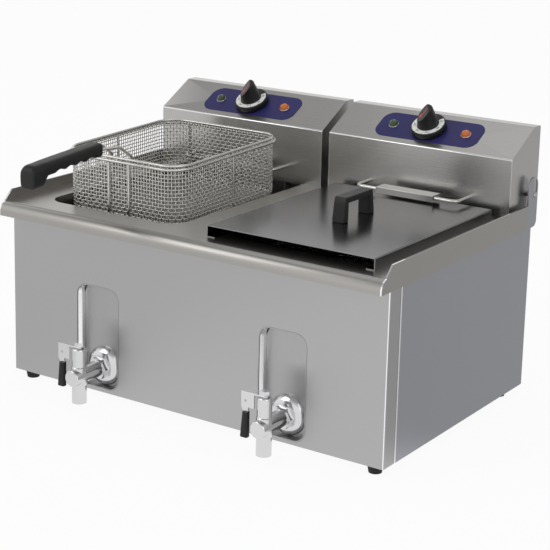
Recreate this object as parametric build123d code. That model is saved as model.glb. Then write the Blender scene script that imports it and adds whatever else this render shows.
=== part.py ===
from build123d import *
import os
from math import atan2, cos, degrees, hypot, radians, sin, tan

# Twin countertop electric deep fryer with drain taps.
# Millimetres. While it is built, x is measured from mid-width, y backwards from the front panel's face
# and z upwards from the cabinet's lower edge. seat() then moves each piece so that the origin lies under
# the middle of the whole object, on the table.

# Cabinet
CABINET_WIDTH = 600.0
CABINET_DEPTH = 382.0
SHEET = 1.2
FRONT_RETURN = 26.0
PANEL_SEAM = 0.4
PANEL_BEND = 3.0
FOOT_HEIGHT = 12.0
FOOT_TOP_DIAMETER = 22.0
FOOT_TREAD_DIAMETER = 17.0
FOOT_SIDE_INSET = 20.0
FOOT_FRONT_INSET = 16.0
FOOT_REAR_INSET = 30.0

# Worktop
WORKTOP_HEIGHT = 245.5
SKIRT_DROP = 18.5
UPSTAND = 14.5
SIDE_PLATE = 2.5
SKIRT_REAR_INSET = 17.0
NOSE_REACH = 25.0
NOSE_RADIUS = 14.0

# Control heads
HEAD_GAP = 12.0
HEAD_SIDE_MARGIN = 7.0
HEAD_DEPTH = 84.0
HEAD_OVERHANG = 28.0
KNEE_HEIGHT = 83.5
HEAD_HEIGHT = 118.5
CREST_DEPTH = 20.0
HEAD_BEND = 2.4
LABEL_WIDTH = 160.0
LABEL_LENGTH = 52.0
LABEL_CORNER = 17.0
LABEL_THICKNESS = 0.6
LAMP_OFFSET = 57.0
LAMP_HOLE_DIAMETER = 10.4
LAMP_BODY_DIAMETER = 10.0
LAMP_BODY_LENGTH = 22.0
LAMP_BEZEL_DIAMETER = 15.0
LAMP_BEZEL_HEIGHT = 2.4
LAMP_LENS_DIAMETER = 12.6
LAMP_LENS_HEIGHT = 3.6
SEAT_STUD_DIAMETER = 8.0
SEAT_STUD_HEIGHT = 26.5
SEAT_STUD_REAR_INSET = 24.0
SEAT_STUD_PROUD = 1.5
STUD_SLOT_GAP = 0.3
SEAT_PLATE_WIDTH = 28.0
SEAT_PLATE_RISE = 52.5
SEAT_PLATE_THICKNESS = 2.0
SEAT_PLATE_CORNER = 9.0
GLAND_DIAMETER = 16.0
GLAND_LENGTH = 18.0
GLAND_REAR_INSET = 13.0
GLAND_BORE = 8.0

# Knobs and thermostats
KNOB_DIAMETER = 50.0
KNOB_SKIRT_HEIGHT = 9.0
KNOB_SKIRT_ROUND = 1.8
KNOB_GRIP_BASE = 34.0
KNOB_GRIP_TOP = 22.0
KNOB_GRIP_HEIGHT = 26.5
KNOB_GRIP_ROUND = 1.2
KNOB_FACE_SLOPE = 40.0
KNOB_FACE_CREST = 6.0
KNOB_POINTER_ANGLE = -60.0
KNOB_LIFT = 0.8
SPINDLE_DIAMETER = 6.0
SPINDLE_LENGTH = 18.0
SPINDLE_FIT = 0.05
SPINDLE_HOLE_DIAMETER = 9.0
THERMOSTAT_WIDTH = 44.0
THERMOSTAT_LENGTH = 36.0
THERMOSTAT_HEIGHT = 30.0

# Wells, tanks and heating elements
WELL_WIDTH = 222.0
WELL_FRONT = 25.0
WELL_UNDER_HEAD = 19.0
WELL_CORNER = 27.0
DRAIN_FALL = 28.0
TANK_FLOOR_RADIUS = 18.0
TANK_FLANGE = 8.0
ELEMENT_DIAMETER = 8.0
ELEMENT_HEIGHT = 57.0
ELEMENT_BEND = 20.0
ELEMENT_LOOP_PITCH = 50.0
ELEMENT_FRONT_GAP = 30.0
ELEMENT_TURN_GAP = 30.0
ELEMENT_LEG_INSET = 9.5
ELEMENT_TAIL = 14.0
ELEMENT_HOLE_GAP = 0.2
SENSOR_DIAMETER = 5.0
SENSOR_REACH = 14.0
SENSOR_BEND = 14.0

# Hangers
ROD_DIAMETER = 5.0
ROD_SPAN = 157.0
ROD_STANDOFF = 36.0
ROD_BEND = 9.0
ROD_LID_GAP = 5.5
HANGER_OFFSET = 4.0
SADDLE_LENGTH = 89.0
SADDLE_DEPTH = 22.0
SADDLE_SHEET = 1.0
SADDLE_DROP = 9.0
SADDLE_GAP = 0.3
SADDLE_FRONT_GAP = 1.0

# Baskets
BASKET_SIDE_CLEAR = 11.0
BASKET_FRONT_CLEAR = 6.0
BASKET_HEIGHT = 86.0
BASKET_SHIFT = 11.0
BASKET_CORNER = 33.0
BASKET_FLOOR_RADIUS = 11.0
BASKET_WALL = 2.4
BASKET_TOP_ABOVE_ROD = 53.0
BASKET_DROOP = 1.6
RIM_DIAMETER = 4.0
FRAME_WIRE = 3.0
WIRE_GAP = 0.2
FRONT_WIRE_SPACING = 34.0
HOOK_SPACING = 130.0
HOOK_BEND = 4.0
HOOK_TIP = 7.0

# Basket handle
HANDLE_WIRE = 4.0
HANDLE_WIRE_SPACING = 34.0
HANDLE_WIRE_LEG = 22.0
HANDLE_RISE = 24.0
HANDLE_SLANT = 25.0
HANDLE_REACH = 20.0
HANDLE_WIRE_BEND = 7.0
HANDLE_WIRE_CONVERGE = 14.0
GRIP_LENGTH = 152.0
GRIP_WIDTH = 24.0
GRIP_DEPTH = 24.0
GRIP_HOOK_DROP = 18.0
GRIP_HOOK_WIDTH = 27.0
GRIP_ROUND = 6.0
GRIP_SOCKET = 30.0
FINGER_COUNT = 4
FINGER_PITCH = 21.0
FINGER_RADIUS = 13.0
FINGER_DEPTH = 3.0
FINGER_START = 24.0

# Lid
LID_HEIGHT = 15.5
LID_SIDE_LAP = 13.0
LID_FRONT_LAP = 18.0
LID_REAR_GAP = 13.0
LID_RETURN = 11.0
LID_BEND = 2.0
LID_HANDLE_LENGTH = 78.0
LID_HANDLE_HEIGHT = 33.0
LID_HANDLE_WIDTH = 18.0
LID_HANDLE_BAR = 8.0
LID_HANDLE_LEG = 9.0
LID_HANDLE_FOOT = 13.0
LID_HANDLE_EDGE = 2.0

# Tap recesses and taps
RECESS_WIDTH = 73.0
RECESS_HEIGHT = 143.0
RECESS_BOTTOM = 5.0
RECESS_DEPTH = 13.0
RECESS_CORNER = 17.0
RECESS_FLANGE = 7.0
RECESS_GAP = 0.1
TAP_OFFSET = 3.0
TAP_HEIGHT = 34.0
TAP_REACH = 41.0
TAP_NOSE = 16.5
BARREL_DIAMETER = 22.5
ROSETTE_MARGIN = 0.5
ROSETTE_DEPTH = 10.0
ROSETTE_RIM = 2.0
HEX_ACROSS = 27.0
HEX_LENGTH = 8.0
TAIL_DIAMETER = 18.0
TAIL_GAP = 0.1
SPOUT_DIAMETER = 20.0
SPOUT_DROP = 37.0
SPOUT_BEAD = 1.2
SPOUT_STEP = 0.4
BONNET_DIAMETER = 19.0
BONNET_RISE = 40.0
BONNET_ROUND = 4.0
BONNET_COLLAR_DIAMETER = 21.0
BONNET_COLLAR_RISE = 14.0
PLUG_DIAMETER = 13.0
PLUG_FIT = 0.05
PLUG_PORT = 8.0
PLUG_TAIL = 11.0
STEM_SQUARE = 7.0
STEM_GAP = 0.05
LEVER_SHEET = 2.0
LEVER_WIDTH = 13.0
LEVER_REACH = 31.0
LEVER_APRON_GAP = 1.0
LEVER_APRON_DROP = 26.0
LEVER_APRON_SQUARE = 20.0
LEVER_NECK = 7.0
LEVER_SWING_GAP = 0.4
LEVER_SEAT_GAP = 0.3
NUT_ACROSS = 11.0
NUT_HEIGHT = 5.0
TAP_GRIP_WIDTH = 8.5
TAP_GRIP_END_WIDTH = 11.5
TAP_GRIP_THICKNESS = 8.0
TAP_GRIP_LENGTH = 34.0
TAP_GRIP_LAP = 8.0
TAP_GRIP_ROUND = 3.0
PIPE_DIAMETER = 22.0
PIPE_WALL = 2.0
PIPE_BEND = 16.0
DRAIN_INSET = 38.0

# Worked out from the sizes above
half_width = CABINET_WIDTH / 2
head_width = half_width - HEAD_GAP / 2 - HEAD_SIDE_MARGIN
well_x = HEAD_GAP / 2 + head_width / 2
head_back = CABINET_DEPTH + HEAD_OVERHANG
head_front = head_back - HEAD_DEPTH
crest_y = head_back - CREST_DEPTH
knee_z = WORKTOP_HEIGHT + KNEE_HEIGHT
head_top = WORKTOP_HEIGHT + HEAD_HEIGHT
slope = degrees(atan2(head_top - knee_z, crest_y - head_front))
sheet_under = WORKTOP_HEIGHT - SHEET
skirt_z = WORKTOP_HEIGHT - SKIRT_DROP
skirt_back = CABINET_DEPTH - SKIRT_REAR_INSET
well_back = head_front + WELL_UNDER_HEAD
well_length = well_back - WELL_FRONT
tank_floor = TAP_HEIGHT + DRAIN_FALL
element_z = tank_floor + ELEMENT_HEIGHT
leg_y = well_back - ELEMENT_LEG_INSET
rod_y = head_front - ROD_STANDOFF
rod_z = WORKTOP_HEIGHT + LID_HEIGHT + ROD_LID_GAP + ROD_DIAMETER / 2
hook_radius = ROD_DIAMETER / 2 + STUD_SLOT_GAP + FRAME_WIRE / 2
wire_out = WIRE_GAP + FRAME_WIRE / 2
basket_back = hook_radius + wire_out
basket_width = WELL_WIDTH - 2 * BASKET_SIDE_CLEAR
basket_depth = rod_y - basket_back - BASKET_SHIFT - WELL_FRONT - BASKET_FRONT_CLEAR
basket_mid = -basket_back - basket_depth / 2
basket_top = BASKET_TOP_ABOVE_ROD
basket_floor = basket_top - BASKET_HEIGHT
frame_low = 2 * FRAME_WIRE + 2 * WIRE_GAP
grip_back = -basket_back - basket_depth - HANDLE_REACH - HANDLE_SLANT
grip_front = grip_back - GRIP_LENGTH
stud_y = head_back - SEAT_STUD_REAR_INSET
stud_z = WORKTOP_HEIGHT + SEAT_STUD_HEIGHT
rosette_radius = TAP_HEIGHT - RECESS_BOTTOM - RECESS_GAP - SHEET - ROSETTE_MARGIN
spout_y = -TAP_REACH
spout_top = -BARREL_DIAMETER / 2 - SPOUT_STEP
plug_bore = PLUG_DIAMETER + 2 * PLUG_FIT
lever_under = BONNET_RISE + LEVER_SEAT_GAP
lever_top = lever_under + LEVER_SHEET
lever_swing = hypot(BARREL_DIAMETER / 2 - SPOUT_BEAD, TAP_NOSE) + LEVER_SWING_GAP
tap_grip_x = -lever_swing - TAP_GRIP_WIDTH / 2
tail_end = RECESS_DEPTH + SHEET
object_mid = (head_back + rod_y + grip_front) / 2


def seat(shape):
    """Moves a built piece so that the origin is under the middle of the object, on the table."""
    return Pos(0, -object_mid, FOOT_HEIGHT) * shape


def block(x0, x1, y0, y1, z0, z1):
    """Box between two corners."""
    return Pos((x0 + x1) / 2, (y0 + y1) / 2, (z0 + z1) / 2) * Box(x1 - x0, y1 - y0, z1 - z0)


def side_profile(points):
    """Face in the YZ plane through (y, z) points."""
    return Plane.YZ * make_face(Polyline(*points, close=True))


def across(face, x0, x1):
    """Extrudes a face of the YZ plane from x0 to x1."""
    return Pos(x0, 0, 0) * extrude(face, x1 - x0, dir=(1, 0, 0))


def upright_prism(width, depth, corner, z0, z1):
    """Rounded rectangle in plan, extruded between two heights."""
    return Pos(0, 0, z0) * extrude(RectangleRounded(width, depth, corner), z1 - z0)


def fronted_prism(width, height, corner, y0, y1):
    """Rounded rectangle in the front view, extruded backwards from y0 to y1."""
    plane = Plane(origin=(0, y0, 0), x_dir=(1, 0, 0), z_dir=(0, 1, 0))
    return extrude(plane * RectangleRounded(width, height, corner), y1 - y0)


def wire_along(points, diameter, bend):
    """Round wire along straight runs joined by arcs."""
    path = FilletPolyline(*points, radius=bend)
    return sweep(Plane(path @ 0, z_dir=path % 0) * Circle(diameter / 2), path=path)


def wire_loop(width, depth, corner, diameter):
    """Closed round wire round a rounded rectangle in plan."""
    path = RectangleRounded(width, depth, corner).wire()
    return sweep(Plane(path @ 0, z_dir=path % 0) * Circle(diameter / 2), path=path)


def cylinder_along(axis, start, end, diameter):
    """Cylinder from start to end along one axis, X, Y or Z, on that axis's line through the origin."""
    directions = {"X": (1, 0, 0), "Y": (0, 1, 0), "Z": (0, 0, 1)}
    direction = Vector(*directions[axis])
    return extrude(Plane(origin=direction * start, z_dir=direction) * Circle(diameter / 2), end - start)


def panels():
    """Front panel with its corner returns and recess openings, side panels, back and base."""
    outer = half_width
    inner = half_width - SHEET
    shell = block(-outer, outer, 0, FRONT_RETURN, 0, sheet_under)
    shell = fillet(shell.edges().filter_by(Axis.Z).sort_by(Axis.Y)[:2], PANEL_BEND)
    hollow = block(-inner, inner, SHEET, FRONT_RETURN, 0, sheet_under)
    hollow = fillet(hollow.edges().filter_by(Axis.Z).sort_by(Axis.Y)[:2], PANEL_BEND - SHEET)
    front = shell - hollow
    opening = fronted_prism(RECESS_WIDTH, RECESS_HEIGHT, RECESS_CORNER, -SHEET, 2 * SHEET)
    for side in (-1, 1):
        front -= Pos(side * well_x, 0, RECESS_BOTTOM + RECESS_HEIGHT / 2) * opening
    side_front = FRONT_RETURN + PANEL_SEAM
    right = block(inner, outer, side_front, CABINET_DEPTH, 0, sheet_under)
    left = block(-outer, -inner, side_front, CABINET_DEPTH, 0, sheet_under)
    back = block(-inner, inner, CABINET_DEPTH - SHEET, CABINET_DEPTH, 0, sheet_under)
    base = block(-inner, inner, FRONT_RETURN, CABINET_DEPTH - SHEET, 0, SHEET)
    base += block(-inner + PANEL_BEND, inner - PANEL_BEND, SHEET, FRONT_RETURN, 0, SHEET)
    return {
        "front_panel": front,
        "left_side_panel": left,
        "right_side_panel": right,
        "back_panel": back,
        "base_plate": base,
    }


def feet():
    """Four tapered rubber feet under the base plate."""
    foot = Pos(0, 0, -FOOT_HEIGHT) * extrude(Circle(FOOT_TREAD_DIAMETER / 2), FOOT_HEIGHT,
                                             taper=-degrees(atan2(FOOT_TOP_DIAMETER - FOOT_TREAD_DIAMETER,
                                                                  2 * FOOT_HEIGHT)))
    spots = [(side * (half_width - FOOT_SIDE_INSET), y)
             for side in (-1, 1)
             for y in (FOOT_FRONT_INSET, CABINET_DEPTH - FOOT_REAR_INSET)]
    return {"feet": Compound(children=[Pos(x, y, 0) * foot for x, y in spots])}


def worktop():
    """Pressed sheet with a rolled front nose, two well openings and raised side flanges with skirts."""
    nose = -NOSE_REACH
    roll_y = nose + NOSE_RADIUS
    roll_z = WORKTOP_HEIGHT - NOSE_RADIUS
    rear = CABINET_DEPTH
    lean = NOSE_RADIUS * sin(radians(45))

    def rolled(inset, back, bottom):
        """Outline of the rolled front, inset by a sheet for its inner face."""
        top = WORKTOP_HEIGHT - inset
        bulge = (roll_y - lean * (1 - inset / NOSE_RADIUS), roll_z + lean * (1 - inset / NOSE_RADIUS))
        outline = [
            Line((back, bottom), (back, top)),
            Line((back, top), (roll_y, top)),
            ThreePointArc((roll_y, top), bulge, (nose + inset, roll_z)),
            Line((nose + inset, roll_z), (nose + inset, bottom)),
            Line((nose + inset, bottom), (back, bottom)),
        ]
        return Plane.YZ * make_face(outline)

    sheet = across(rolled(0, rear, skirt_z) - rolled(SHEET, rear + SHEET, skirt_z + SHEET),
                   -half_width, half_width)
    sheet -= block(-half_width, half_width, 0, rear + SHEET, skirt_z - SHEET, skirt_z + SHEET)
    opening = upright_prism(WELL_WIDTH, well_length, WELL_CORNER, sheet_under - SHEET, WORKTOP_HEIGHT + SHEET)
    for side in (-1, 1):
        sheet -= Pos(side * well_x, WELL_FRONT + well_length / 2, 0) * opening
    flange_top = WORKTOP_HEIGHT + UPSTAND
    upstand = side_profile([
        (skirt_back, roll_z),
        (skirt_back, flange_top),
        (0, flange_top),
        (-UPSTAND, WORKTOP_HEIGHT),
        (roll_y, roll_z),
    ])
    flange = across(rolled(0, skirt_back, skirt_z) + upstand, 0, SIDE_PLATE)
    sheet += Pos(half_width, 0, 0) * flange
    sheet += Pos(-half_width - SIDE_PLATE, 0, 0) * flange
    return {"worktop": sheet}


def tank_piece():
    """Open tank with rounded corners, a flange under the worktop and a drain hole in its floor."""
    mid = WELL_FRONT + well_length / 2
    outer = upright_prism(WELL_WIDTH + 2 * SHEET, well_length + 2 * SHEET, WELL_CORNER + SHEET,
                          tank_floor - SHEET, sheet_under)
    outer = fillet(outer.edges().group_by(Axis.Z)[0], TANK_FLOOR_RADIUS + SHEET)
    inner = upright_prism(WELL_WIDTH, well_length, WELL_CORNER, tank_floor, sheet_under)
    inner = fillet(inner.edges().group_by(Axis.Z)[0], TANK_FLOOR_RADIUS)
    wide = 2 * (TANK_FLANGE + SHEET)
    flange = upright_prism(WELL_WIDTH + wide, well_length + wide, WELL_CORNER + TANK_FLANGE + SHEET,
                           sheet_under - SHEET, sheet_under)
    tank = Pos(0, mid, 0) * (outer + flange - inner)
    bore = PIPE_DIAMETER - 2 * PIPE_WALL
    return tank - Pos(TAP_OFFSET, WELL_FRONT + DRAIN_INSET, 0) * cylinder_along("Z", 0, WORKTOP_HEIGHT, bore)


def drain_pipe_piece():
    """Bent pipe from the tank's floor down and forward to the back of the recess pan."""
    drain_y = WELL_FRONT + DRAIN_INSET
    points = [(0, drain_y, tank_floor - SHEET), (0, drain_y, TAP_HEIGHT), (0, tail_end, TAP_HEIGHT)]
    bore = PIPE_DIAMETER - 2 * PIPE_WALL
    return wire_along(points, PIPE_DIAMETER, PIPE_BEND) - wire_along(points, bore, PIPE_BEND)


def recess_pan_piece():
    """Pan that lines a tap recess, with a flange behind the front panel and a hole for the tap's tail."""
    width = RECESS_WIDTH - 2 * RECESS_GAP
    height = RECESS_HEIGHT - 2 * RECESS_GAP
    corner = RECESS_CORNER - RECESS_GAP
    wide = 2 * RECESS_FLANGE
    pan = fronted_prism(width, height, corner, 0, tail_end)
    pan += fronted_prism(width + wide, height + wide, corner + RECESS_FLANGE, SHEET, 2 * SHEET) \
        & block(-CABINET_WIDTH, CABINET_WIDTH, 0, tail_end,
                SHEET - RECESS_BOTTOM - RECESS_HEIGHT / 2, CABINET_WIDTH)
    pan -= fronted_prism(width - 2 * SHEET, height - 2 * SHEET, corner - SHEET, 0, RECESS_DEPTH)
    pan = Pos(0, 0, RECESS_BOTTOM + RECESS_HEIGHT / 2) * pan
    hole = cylinder_along("Y", 0, tail_end + SHEET, TAIL_DIAMETER + 2 * TAIL_GAP)
    return pan - Pos(TAP_OFFSET, 0, TAP_HEIGHT) * hole


def rosette_piece():
    """Domed rosette that covers the tap's hole, with its flat back on the pan."""
    radius = rosette_radius
    hole = TAIL_DIAMETER / 2 + TAIL_GAP
    neck = HEX_ACROSS / 2
    rise = ROSETTE_DEPTH - ROSETTE_RIM
    curve = ((radius - neck) ** 2 + rise ** 2) / (2 * rise)
    half_turn = atan2(radius - neck, curve - rise) / 2
    outline = [
        Line((hole, 0), (radius, 0)),
        Line((radius, 0), (radius, ROSETTE_RIM)),
        ThreePointArc((radius, ROSETTE_RIM),
                      (neck + curve * sin(half_turn), ROSETTE_DEPTH - curve * (1 - cos(half_turn))),
                      (neck, ROSETTE_DEPTH)),
        Line((neck, ROSETTE_DEPTH), (hole, ROSETTE_DEPTH)),
        Line((hole, ROSETTE_DEPTH), (hole, 0)),
    ]
    dome = revolve(Plane.XZ * make_face(outline), Axis.Z)
    return Pos(0, RECESS_DEPTH, TAP_HEIGHT) * (Rot(90, 0, 0) * dome)


def tap_body_piece():
    """Tap body: tail, hexagon, barrel towards the front, short neck for the spout and bonnet upwards."""
    hex_back = RECESS_DEPTH - ROSETTE_DEPTH
    nose = spout_y - TAP_NOSE
    hexagon = Plane(origin=(0, hex_back, 0), x_dir=(1, 0, 0), z_dir=(0, -1, 0)) \
        * RegularPolygon(HEX_ACROSS / 2, 6, major_radius=False)
    body = extrude(hexagon, HEX_LENGTH)
    body += cylinder_along("Y", hex_back, tail_end, TAIL_DIAMETER)
    barrel = cylinder_along("Y", nose, hex_back, BARREL_DIAMETER)
    barrel = chamfer(barrel.edges().group_by(Axis.Y)[0], SPOUT_BEAD)
    body += barrel
    body += Pos(0, spout_y, 0) * cylinder_along("Z", spout_top, 0, SPOUT_DIAMETER + 2 * SPOUT_BEAD)
    bonnet = cylinder_along("Z", 0, BONNET_RISE, BONNET_DIAMETER)
    bonnet = fillet(bonnet.edges().group_by(Axis.Z)[-1], BONNET_ROUND)
    collar = cylinder_along("Z", 0, BONNET_COLLAR_RISE, BONNET_COLLAR_DIAMETER)
    collar = chamfer(collar.edges().group_by(Axis.Z)[-1], SPOUT_BEAD)
    body += Pos(0, spout_y, 0) * (bonnet + collar)
    body -= Pos(0, spout_y, 0) * cylinder_along("Z", -2 * SPOUT_DROP, 2 * BONNET_RISE, plug_bore)
    body -= cylinder_along("Y", spout_y, 2 * tail_end, PLUG_PORT)
    return Pos(0, 0, TAP_HEIGHT) * body


def tap_spout_piece():
    """Spout tube, screwed up against the neck under the tap body."""
    spout = cylinder_along("Z", -SPOUT_DROP, spout_top, SPOUT_DIAMETER)
    spout -= cylinder_along("Z", -2 * SPOUT_DROP, 0, plug_bore)
    return Pos(0, spout_y, TAP_HEIGHT) * spout


def tap_stem_piece():
    """Plug with an angled port, its stem, and the nut that holds the lever."""
    plug = cylinder_along("Z", -PLUG_TAIL, BONNET_RISE, PLUG_DIAMETER)
    port = cylinder_along("Z", -PLUG_TAIL, 0, PLUG_PORT) + Sphere(PLUG_PORT / 2)
    port += cylinder_along("X", 0, PLUG_DIAMETER, PLUG_PORT)
    plug -= port
    plug += Pos(0, 0, BONNET_RISE) * extrude(Rectangle(STEM_SQUARE, STEM_SQUARE), lever_top - BONNET_RISE)
    nut = extrude(RegularPolygon(NUT_ACROSS / 2, 6, major_radius=False), NUT_HEIGHT)
    plug += Pos(0, 0, lever_top) * nut
    return Pos(0, spout_y, TAP_HEIGHT) * plug


def tap_lever_piece():
    """Folded sheet lever: a top plate on the stem and a front apron that narrows to carry the grip."""
    top = lever_top
    front = -LEVER_WIDTH / 2
    plate = block(-LEVER_REACH, LEVER_WIDTH / 2, front, LEVER_WIDTH / 2, lever_under, top)
    plate = fillet(plate.edges().filter_by(Axis.Z).sort_by(Axis.X)[-2:], LEVER_WIDTH / 3)
    hole = STEM_SQUARE + 2 * STEM_GAP
    plate -= block(-hole / 2, hole / 2, -hole / 2, hole / 2, lever_under - LEVER_SHEET, top + LEVER_SHEET)
    low = top - LEVER_APRON_DROP
    right = -BONNET_COLLAR_DIAMETER / 2 - LEVER_APRON_GAP
    neck_left = tap_grip_x - LEVER_NECK / 2
    neck_right = tap_grip_x + LEVER_NECK / 2
    outline = Polyline(
        (-LEVER_REACH, top),
        (right, top),
        (right, top - LEVER_APRON_SQUARE),
        (neck_right, top - LEVER_APRON_SQUARE),
        (neck_right, low - TAP_GRIP_LAP),
        (neck_left, low - TAP_GRIP_LAP),
        (neck_left, low),
        (-LEVER_REACH, top - LEVER_APRON_SQUARE),
        close=True,
    )
    face = Plane(origin=(0, front, 0), x_dir=(1, 0, 0), z_dir=(0, -1, 0)) * make_face(outline)
    lever = plate + extrude(face, -LEVER_SHEET)
    return Pos(0, spout_y, TAP_HEIGHT) * lever


def tap_grip_piece():
    """Plastic grip moulded on the lever's neck, pointing down beside the barrel and wider at its end."""
    top = lever_top - LEVER_APRON_DROP
    middle = -LEVER_WIDTH / 2 + LEVER_SHEET / 2
    upper = Pos(tap_grip_x, middle, top) \
        * RectangleRounded(TAP_GRIP_WIDTH, TAP_GRIP_THICKNESS, TAP_GRIP_ROUND)
    lower = Pos(-lever_swing - TAP_GRIP_END_WIDTH / 2, middle, top - TAP_GRIP_LENGTH) \
        * RectangleRounded(TAP_GRIP_END_WIDTH, TAP_GRIP_THICKNESS, TAP_GRIP_ROUND)
    grip = loft([lower, upper])
    grip = fillet(grip.edges().group_by(Axis.Z)[0], TAP_GRIP_ROUND / 2)
    neck = block(tap_grip_x - LEVER_NECK / 2, tap_grip_x + LEVER_NECK / 2,
                 middle - LEVER_SHEET / 2, middle + LEVER_SHEET / 2,
                 top - TAP_GRIP_LAP, top)
    return Pos(0, spout_y, TAP_HEIGHT) * (grip - neck)


def slope_plane(along=0.0, lift=0.0):
    """Plane on the sloped control panel, at mid-slope, with its x along the head and its normal outwards."""
    normal = Vector(0, -sin(radians(slope)), cos(radians(slope)))
    middle = Vector(0, (head_front + crest_y) / 2, (knee_z + head_top) / 2)
    return Plane(origin=middle + Vector(along, 0, 0) + normal * lift, x_dir=(1, 0, 0), z_dir=normal)


def panel_holes(depth):
    """Cutters for the spindle and the two lamps, through the sloped panel."""
    start = slope_plane(lift=-depth)
    holes = extrude(start * Circle(SPINDLE_HOLE_DIAMETER / 2), 2 * depth)
    for along in (-LAMP_OFFSET, LAMP_OFFSET):
        holes += extrude(slope_plane(along, -depth) * Circle(LAMP_HOLE_DIAMETER / 2), 2 * depth)
    return holes


def head_shell_piece(outward):
    """Folded housing of a control head, open below, with a seat stud on each side.

    outward is 1 where the object's outer side lies towards +X and -1 where it lies towards -X.
    """
    half = head_width / 2
    outline = [
        (head_front, WORKTOP_HEIGHT),
        (head_front, knee_z),
        (crest_y, head_top),
        (head_back, head_top),
        (head_back, WORKTOP_HEIGHT),
    ]
    shell = across(side_profile(outline), -half, half)
    bends = shell.edges().filter_by(Axis.X).sort_by(Axis.Z)[2:]
    shell = fillet(bends, HEAD_BEND)
    turn_knee = SHEET * tan(radians(slope / 2))
    turn_front = SHEET * (1 - sin(radians(slope))) / cos(radians(slope))
    hollow = side_profile([
        (head_front + SHEET, WORKTOP_HEIGHT - SHEET),
        (head_front + SHEET, knee_z - turn_front),
        (crest_y + turn_knee, head_top - SHEET),
        (head_back - SHEET, head_top - SHEET),
        (head_back - SHEET, WORKTOP_HEIGHT - SHEET),
    ])
    shell -= across(hollow, -half + SHEET, half - SHEET)
    shell -= panel_holes(LABEL_THICKNESS + 2 * SHEET)
    stud_out = HEAD_SIDE_MARGIN + SEAT_PLATE_THICKNESS + SEAT_STUD_PROUD
    stud_in = HEAD_GAP / 2 - STUD_SLOT_GAP
    studs = Pos(0, stud_y, stud_z) * (
        cylinder_along("X", half - SHEET, half + stud_out, SEAT_STUD_DIAMETER)
        + cylinder_along("X", -half - stud_in, -half + SHEET, SEAT_STUD_DIAMETER))
    if outward < 0:
        studs = mirror(studs, Plane.YZ)
    return shell + studs


def head_base_piece():
    """Plate that closes a head below and carries the heating element."""
    half = head_width / 2 - SHEET
    plate = block(-half, half, head_front + SHEET, head_back - SHEET, WORKTOP_HEIGHT, WORKTOP_HEIGHT + SHEET)
    gap = 2 * ELEMENT_HOLE_GAP
    holes = [
        (-1.5 * ELEMENT_LOOP_PITCH, leg_y, ELEMENT_DIAMETER + gap),
        (1.5 * ELEMENT_LOOP_PITCH, leg_y, ELEMENT_DIAMETER + gap),
        (0, leg_y, SENSOR_DIAMETER + gap),
        (0, head_back - GLAND_REAR_INSET, GLAND_BORE),
    ]
    for x, y, diameter in holes:
        plate -= Pos(x, y, 0) * cylinder_along("Z", skirt_z, knee_z, diameter)
    return plate


def element_piece():
    """Tubular heater: two legs from the head and three hairpins over the cold zone."""
    front = WELL_FRONT + ELEMENT_FRONT_GAP
    turn = leg_y - ELEMENT_TURN_GAP
    top = WORKTOP_HEIGHT + SHEET + ELEMENT_TAIL
    outer = 1.5 * ELEMENT_LOOP_PITCH
    inner = 0.5 * ELEMENT_LOOP_PITCH
    points = [
        (-outer, leg_y, top),
        (-outer, leg_y, element_z),
        (-outer, front, element_z),
        (-inner, front, element_z),
        (-inner, turn, element_z),
        (inner, turn, element_z),
        (inner, front, element_z),
        (outer, front, element_z),
        (outer, leg_y, element_z),
        (outer, leg_y, top),
    ]
    return wire_along(points, ELEMENT_DIAMETER, ELEMENT_BEND)


def sensor_piece():
    """Thermostat's sensor tube, down from the head and forward over the middle hairpin's turn."""
    top = WORKTOP_HEIGHT + SHEET + ELEMENT_TAIL
    low = element_z + ELEMENT_DIAMETER / 2 + ELEMENT_HOLE_GAP + SENSOR_DIAMETER / 2
    tip = leg_y - ELEMENT_TURN_GAP - SENSOR_REACH
    return wire_along([(0, leg_y, top), (0, leg_y, low), (0, tip, low)], SENSOR_DIAMETER, SENSOR_BEND)


def hanger_rod_piece():
    """Bent rod on a head's front that a lifted basket hangs from."""
    half = ROD_SPAN / 2
    points = [
        (-half, head_front, rod_z),
        (-half, rod_y, rod_z),
        (half, rod_y, rod_z),
        (half, head_front, rod_z),
    ]
    return wire_along(points, ROD_DIAMETER, ROD_BEND)


def saddle_piece():
    """Folded sheet over the middle of the rod, which keeps a basket's hooks apart."""
    under = rod_z + ROD_DIAMETER / 2 + SADDLE_GAP
    front = rod_y - ROD_DIAMETER / 2 - SADDLE_FRONT_GAP - SADDLE_SHEET
    back = front + SADDLE_DEPTH
    low = under - SADDLE_DROP + SADDLE_SHEET
    half = SADDLE_LENGTH / 2
    saddle = block(-half, half, front, back, low, under + SADDLE_SHEET)
    saddle = fillet(saddle.edges().filter_by(Axis.X).group_by(Axis.Z)[-1], SADDLE_SHEET)
    hollow = block(-half, half, front + SADDLE_SHEET, back - SADDLE_SHEET, low, under)
    return saddle - hollow


def gland_piece():
    """Cable gland below a head's overhang, behind the cabinet."""
    body = cylinder_along("Z", -GLAND_LENGTH / 2, 0, GLAND_DIAMETER)
    cap = extrude(RegularPolygon(GLAND_DIAMETER / 2, 6, major_radius=False), -GLAND_LENGTH / 2)
    body += Pos(0, 0, -GLAND_LENGTH / 2) * cap
    body -= cylinder_along("Z", -GLAND_LENGTH, 0, GLAND_BORE)
    return Pos(0, head_back - GLAND_REAR_INSET, WORKTOP_HEIGHT) * body


def label_piece():
    """Thin coloured plate on the sloped panel, round the knob and lamps."""
    outline = RectangleRounded(LABEL_WIDTH, LABEL_LENGTH, LABEL_CORNER)
    plate = extrude(slope_plane() * outline, LABEL_THICKNESS)
    return plate - panel_holes(LABEL_THICKNESS + 2 * SHEET)


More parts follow.
